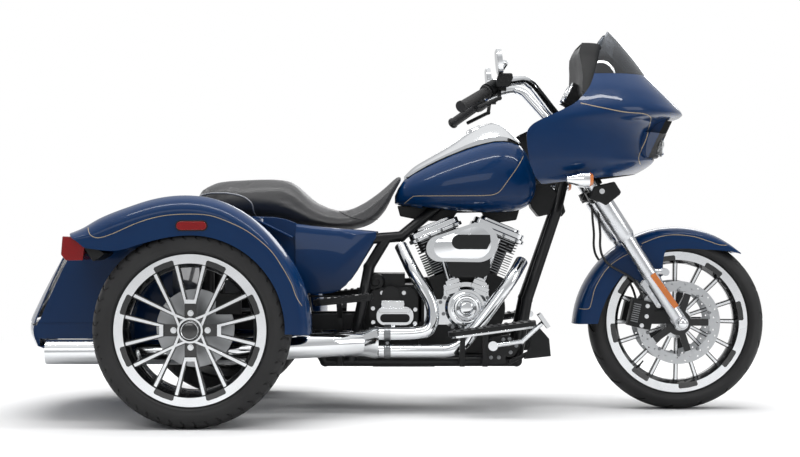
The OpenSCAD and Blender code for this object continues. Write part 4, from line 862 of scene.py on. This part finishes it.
# Pedal plates: the frame has a steel plate on each side that carries the pedal pivot, with bare
# hexagon screws through it.
plate_y = 0.179
heads = bmesh.new()
for side in (-1, 1):
    spots = [(x, side * plate_y, z) for x, z in (
        (0.368, 0.264), (0.39, 0.266), (0.386, 0.246), (0.414, 0.242), (0.394, 0.218), (0.352, 0.2),
        (0.324, 0.2))]
    screws(heads, spots, 0.0055, 0.006, (0, side, 0))
shown(heads, "pedal_mount_screws", cut_alloy, "chassis", "chrome", sharp=20)


# Fork: cast slider legs in long cover tubes, held by two black coated clamps, with a shroud bolted
# over each side of the lower one.
front_axle_x, front_axle_z = 1.008, 0.319
# Satin alloy: clear-lacquered cast aluminium, bright with a soft spread.
satin_alloy = finish("satin_fork_alloy", 1.0, ("#c2c4c7", "#d2d4d7"), (0.22, 0.3), 0.04, {
    "Metallic": 1.0})
dressed("triple_clamps", powder_coat, 2.0)
shroud_y = 0.1675
shrouds, heads = bmesh.new(), bmesh.new()
for side in (-1, 1):
    slab(shrouds, [(0.676, 0.764), (0.692, 0.809), (0.766, 0.827), (0.79, 0.789), (0.784, 0.779),
                   (0.736, 0.741), (0.716, 0.752)], side * 0.084, side * shroud_y)
    screws(heads, [(0.721, side * shroud_y, 0.792)], 0.008, 0.007, (0, side, 0))
broken_edges(shown(shrouds, "clamp_shrouds", powder_coat, "steering", "black_frame"), 4.0)
shown(heads, "shroud_screws", chrome_plate, "steering", "chrome", sharp=20)
for node in ("fork_leg_right", "fork_leg_left"):
    dressed(node, satin_alloy, 1.5)
dressed("front_axle", chrome_plate, 1.5)
heads = bmesh.new()
for side in (-1, 1):
    turned(heads, [
        (0.0, side * 0.009), (0.008, side * 0.0085), (0.014, side * 0.0055), (0.0185, 0.0),
        (0.0185, -side * 0.004)],
        (front_axle_x, side * 0.169, front_axle_z), 32)
shown(heads, "axle_end_caps", chrome_plate, "steering", "chrome", sharp=50)

# Side reflectors: amber acrylic bars stuck to the outer face of each leg.
# Amber acrylic: orange, smooth outside with a prism pattern behind.
amber_acrylic = finish("amber_acrylic_lens", 5.0, ("#b85c08", "#cc7012"), (0.12, 0.18), 0.15, {
    "Coat Weight": 1.0})
bars = bmesh.new()
for side in (-1, 1):
    slab(bars, pill(0.945, 0.437, 0.146, 0.021, 0.004, -54), side * 0.148, side * 0.1606)
broken_edges(shown(bars, "leg_reflectors", amber_acrylic, "steering", "red_lens"), 1.2)

# Caliper lugs: bright ears cast on the back of each leg, with the caliper and fender screws in them.
lug_back, lug_front = 0.1005, 0.1125
lugs, heads = bmesh.new(), bmesh.new()
for side in (-1, 1):
    slab(lugs, pill(0.906, 0.424, 0.118, 0.024, 0.011, -56), side * lug_back, side * lug_front)
    slab(lugs, pill(0.953, 0.503, 0.036, 0.026, 0.0125, -20), side * lug_back, side * lug_front)
    spots = [(x, side * lug_front, z) for x, z in (
        (0.882, 0.461), (0.907, 0.424), (0.931, 0.387), (0.953, 0.503))]
    screws(heads, spots, 0.0062, 0.006, (0, side, 0))
broken_edges(shown(lugs, "caliper_lugs", satin_alloy, "steering", "silver_fork"), 1.5)
shown(heads, "fender_screws", chrome_plate, "steering", "chrome", sharp=20)


# Front wheel: cast alloy enamelled gloss black, with the spoke fronts and the rim ring skimmed
# bright in the lathe, and a rubber valve through the rim.
def skimmed_front(face):
    """The rim ring and the spoke fronts, on both faces of the wheel, are left bright."""
    off = abs(face.calc_center_median().y)
    return int(abs(face.normal.y) > 0.97 and (0.045 < off < 0.047 or 0.0145 < off < 0.0155))


dressed("front_rim", (gloss_enamel, turned_alloy), 1.5, skimmed_front)
bm = bmesh.new()
for side in (-1, 1):
    pockets(bm, front_axle_x, front_axle_z, [10 + 45 * i for i in range(8)],
            half=8.6, near=0.2245, far=0.243, back=side * 0.043, front=side * 0.0466)
shown(bm, "rim_pockets_front", gloss_enamel, "front_wheel", "wheel_black")
tyre("road_tyre_front", "front_tyre", (front_axle_x, 0, front_axle_z),
     radius=0.319, half=0.065, bead_r=0.2384, bead=0.0376, wide_r=0.278, power=0.92, steps=216,
     ribs=((0.25, 0.001), (0.4, 0.002), (0.55, 0.0005), (0.8, 0.001)),
     cut=lambda i, y: (i % 12 in (0, 1) and 0.12 < y < 0.86) or (i % 12 in (6, 7) and -0.86 < y < -0.12),
     slant=math.radians(-9))
valve = turned(bmesh.new(), [
    (0.0, -0.03), (0.003, -0.03), (0.0032, -0.012), (0.0045, -0.01), (0.0052, 0.004)],
    (0.872, -0.006, 0.152), 12, (-0.62, 0.1, -0.78))
shown(valve, "tyre_valve", soft_rubber, "front_wheel", "grip_rubber", sharp=50)

# Front brakes: drilled discs riveted to black carriers, with finned black calipers behind the legs.
# Disc and carrier: a ring of ground steel round a black enamelled centre.
carrier_r, rivet_circle, rivet_y, swirl_mm = 0.1085, 0.117, 0.0828, 1.0
disc_steel, tree, shader, where = bare("ground_disc_on_black_carrier")
from_axle = add(tree, "ShaderNodeVectorMath", {
    0: where, 1: (front_axle_x, 0, front_axle_z)}, operation="SUBTRACT")
flat = add(tree, "ShaderNodeVectorMath", {
    0: from_axle.outputs["Vector"], 1: (1, 0, 1)}, operation="MULTIPLY")
radius = add(tree, "ShaderNodeVectorMath", {0: flat.outputs["Vector"]}, operation="LENGTH")
ring = add(tree, "ShaderNodeMath", {0: radius.outputs["Value"], 1: carrier_r}, operation="GREATER_THAN")
swirl = add(tree, "ShaderNodeTexNoise", {"Vector": where, "Scale": 1000.0 / swirl_mm, "Detail": 3.0})
steel = add(tree, "ShaderNodeMix", {
    0: swirl.outputs["Fac"], 6: linear("#a6a8aa"), 7: linear("#c4c6c8")}, data_type="RGBA")
paint = add(tree, "ShaderNodeMix", {
    0: ring.outputs[0], 6: linear("#101112"), 7: steel.outputs[2]}, data_type="RGBA")
tree.links.new(paint.outputs[2], shader.inputs["Base Color"])
tree.links.new(ring.outputs[0], shader.inputs["Metallic"])
shader.inputs["Roughness"].default_value = 0.32
dressed("front_discs", disc_steel, 0.5)
rivets = bmesh.new()
for side in (-1, 1):
    for i in range(10):
        a = math.radians(36 * i + 18)
        spot = (front_axle_x + rivet_circle * math.cos(a), side * rivet_y,
                front_axle_z + rivet_circle * math.sin(a))
        turned(rivets, [
            (0.0, side * 0.003), (0.004, side * 0.0028), (0.0065, side * 0.001), (0.0068, -side * 0.001)],
            spot, 14)
shown(rivets, "disc_rivets", cut_alloy, "front_wheel", "disc_steel", sharp=50)
dressed("front_calipers", wrinkle_enamel, 3.0)
fins, heads = bmesh.new(), bmesh.new()
lie = Matrix.Translation((front_axle_x, 0, front_axle_z)) @ Matrix.Rotation(math.radians(13), 4, "Y")
for side in (-1, 1):
    for i in range(9):
        place = lie @ Matrix.Translation((-0.163, side * 0.1125, -0.031 + 0.0078 * i))
        bmesh.ops.create_cube(fins, size=1.0, matrix=place @ Matrix.Diagonal((0.026, 0.008, 0.004, 1)))
    spots = [lie @ Vector((x, side * 0.112, z)) for x, z in (
        (-0.127, 0.033), (-0.122, -0.004), (-0.132, -0.04))]
    screws(heads, spots, 0.0065, 0.006, (0, side, 0))
broken_edges(shown(fins, "caliper_fins", cut_alloy, "steering", "disc_steel"), 0.8)
shown(heads, "caliper_screws", chrome_plate, "steering", "chrome", sharp=20)

# Front fender: a deep-drawn steel mudguard lacquered blue, screwed to the legs by a tongue on each
# side, with the same tan line.
front_fender = panel("front_fender", blue_lacquer)
pinstripe("front_fender_line_back", (front_fender,), (
    (650, 368), (682, 369), (692, 390), (705, 441), (733, 492), (761, 526), (800, 554), (834, 571),
    (874, 596)), "steering")
pinstripe("front_fender_line_front", (front_fender,), (
    (874, 604), (936, 628), (993, 636), (1061, 630), (1117, 613), (1156, 600), (1184, 599)), "steering")

# Brake hoses: one to each front caliper, black rubber, from a union under the lower fork clamp down
# beside the fender.
hose_radius = 0.0045
for side, word in ((-1, "right"), (1, "left")):
    route = drawn([(x, side * y, z) for x, y, z in (
        (0.716, 0.1, 0.762), (0.7155, 0.1, 0.735), (0.718, 0.1, 0.69), (0.7225, 0.1, 0.64),
        (0.722, 0.1005, 0.595), (0.731, 0.102, 0.558), (0.757, 0.104, 0.526), (0.797, 0.104, 0.503),
        (0.834, 0.102, 0.481), (0.858, 0.098, 0.452), (0.87, 0.095, 0.425), (0.8775, 0.094, 0.399))], 0.0125)
    hose = round_line("brake_hose_" + word, route, hose_radius, soft_rubber, "steering",
                      facets=3)


# Fairing: a moulded nose fixed to the frame, lacquered blue outside and bare black inside, with a
# black dash in it and a smoked screen on top.
fairing = panel("fairing_shell", (blue_lacquer, moulded_nylon))
for face in fairing.data.polygons:
    outward = face.center - Vector((0.62, 0, 1.0))
    face.material_index = int(face.normal.dot(outward) < 0 or face.normal.x < -0.6)

# Headlamps: two round clear lenses in one black moulded housing under the nose, whose flanks carry
# on the fairing's blue.
bm = flattened("headlamps")
slab(bm, [(0.875, 0.9985), (0.9545, 0.9985), (0.9755, 1.043), (0.95, 1.046), (0.895, 1.03)], -0.14, 0.14)
split, lean = Vector((0.914, 0, 0.972)), Vector((1, 0, -0.508))
bmesh.ops.bisect_plane(bm, geom=bm.verts[:] + bm.edges[:] + bm.faces[:], plane_co=split, plane_no=lean)
bm.normal_update()
for face in bm.faces:
    middle = face.calc_center_median()
    face.material_index = int(lean.dot(middle - split) < 0 and abs(middle.y) > 0.122)
housing = broken_edges(shown(bm, "headlamps_piece", (moulded_nylon, blue_lacquer), "chassis",
                             slots["headlamps"], "headlamps"), 1.5)
pinstripe("fairing_lines", (fairing, housing), (
    (621, 1091), (686, 1077), (772, 1062), (840, 1059), (872, 1052), (884, 1041), (884, 1020), (872, 976),
    (853, 934), (841, 910), (844, 895), (852, 886)), wide=0.0032)
dressed("dash", moulded_nylon, 3.0)
# Smoked acrylic: dark grey clear sheet, smooth on both sides.
smoked_acrylic = finish("smoked_acrylic_sheet", 40.0, ("#5c6066", "#676c72"), (0.02, 0.05), 0.0, {
    "Transmission Weight": 0.95, "IOR": 1.49})
panel("windscreen", smoked_acrylic)

# Clear polycarbonate: water clear and glossy.
clear_polycarbonate = finish("clear_polycarbonate", 6.0, ("#eef1f3", "#f6f8f9"), (0.02, 0.05), 0.05, {
    "Transmission Weight": 0.85})
dressed("headlamp_lenses", clear_polycarbonate, 2.0)
bezels = bmesh.new()
for side in (-1, 1):
    turned(bezels, [(0.0385, 0.0012), (0.0375, 0.0062), (0.035, 0.0062), (0.034, 0.0012), (0.0385, 0.0012)],
           (0.945, side * 0.0755, 0.957), 48, (1, 0, 0))
shown(bezels, "headlamp_bezels", chrome_plate, "chassis", "chrome", sharp=40)

# Turn signals: plated bullet shells on stalks at the fairing's sides, each with an amber lens at
# the front.
lens_x = 0.6532
dressed("turn_signals", (chrome_plate, amber_acrylic), 1.2,
        lambda face: int(face.calc_center_median().x > lens_x))

# Handlebar: a bent chrome tube on two risers, with rubber grips, moulded switch blocks and levers,
# brake fluid reservoirs and chrome mirrors.
panel("handlebar", chrome_plate)
dressed("grips", soft_rubber, 2.5)
dressed("hand_controls", moulded_nylon, 2.5)
dressed("mirrors", chrome_plate, 3.0)
pots = bmesh.new()
for side in (-1, 1):
    slab(pots, [(0.334, 1.148), (0.333, 1.172), (0.342, 1.196), (0.388, 1.196), (0.391, 1.18),
                (0.378, 1.15)], side * 0.318, side * 0.362)
broken_edges(shown(pots, "brake_reservoirs", moulded_nylon, "steering", "black_plastic"), 4.0)
# Mirror glass: silvered behind clear glass, nearly perfect.
silvered_glass = finish("silvered_mirror_glass", 50.0, ("#e2e5e7", "#eceff1"), (0.02, 0.04), 0.0, {
    "Metallic": 1.0})
glass = bmesh.new()
turn = Matrix.Rotation(math.radians(84), 4, "Y")
outline = pill(0.0, 0.0, 0.076, 0.142, 0.036)
for side in (-1, 1):
    lie = Matrix.Translation((0.343, side * 0.352, 1.236)) @ turn
    made = glass.faces.new([glass.verts.new(lie @ Vector((x, y, -0.0084))) for x, y in outline])
    pushed = bmesh.ops.extrude_face_region(glass, geom=[made])["geom"]
    bmesh.ops.translate(glass, vec=turn.to_3x3() @ Vector((0, 0, -0.0012)),
                        verts=[v for v in pushed if isinstance(v, bmesh.types.BMVert)])
bmesh.ops.recalc_face_normals(glass, faces=glass.faces)
shown(glass, "mirror_glasses", silvered_glass, "steering", "chrome", sharp=40)

# Gauges: two round dials in black pods on the dash, each in a chrome ring: a black card with white
# marks screened on it, and a white pointer over it.
# Dial card: black and nearly matt.
dial_card = finish("black_dial_card", 3.0, ("#0d0e0f", "#151617"), (0.35, 0.42))
dial_lean = math.radians(-62)
lie = Vector((math.sin(dial_lean), 0, math.cos(dial_lean)))
rings, cards, marks = bmesh.new(), bmesh.new(), bmesh.new()


def printed(cent, degree, away, lift, size):
    """A bar on a dial that points out from its middle at that angle."""
    way = Matrix.Rotation(math.radians(degree), 3, lie) @ lie.orthogonal().normalized()
    turn = Matrix((way, lie.cross(way), lie)).transposed().to_4x4()
    place = Matrix.Translation(cent + way * away + lie * lift) @ turn
    bmesh.ops.create_cube(marks, size=1.0, matrix=place @ Matrix.Diagonal((*size, 1)))


for side in (-1, 1):
    cent = Vector((0.67, side * 0.066, 1.122)) + lie * 0.066
    turned(rings, [(0.0395, -0.004), (0.0402, 0.002), (0.038, 0.0052), (0.0345, 0.004), (0.034, 0.0005)],
           cent, 48, lie)
    turned(cards, [(0.0, 0.0008), (0.034, 0.0008)], cent, 48, lie)
    for i in range(25):
        long = 0.007 if i % 4 == 0 else 0.004
        printed(cent, -150 + 300 * i / 24, 0.028, 0.0012, (long, 0.0008, 0.0006))
    printed(cent, -150, 0.011, 0.0022, (0.03, 0.0016, 0.0008))
shown(rings, "gauge_rings", chrome_plate, "chassis", "chrome", sharp=50)
shown(cards, "gauge_cards", dial_card, "chassis", "black_plastic", sharp=50)
# Screened ink: matt white.
white_ink = finish("white_screen_ink", 2.0, ("#e6e6e2", "#f0f0ec"), (0.5, 0.6))
shown(marks, "gauge_marks", white_ink, "chassis", "black_plastic", sharp=20)
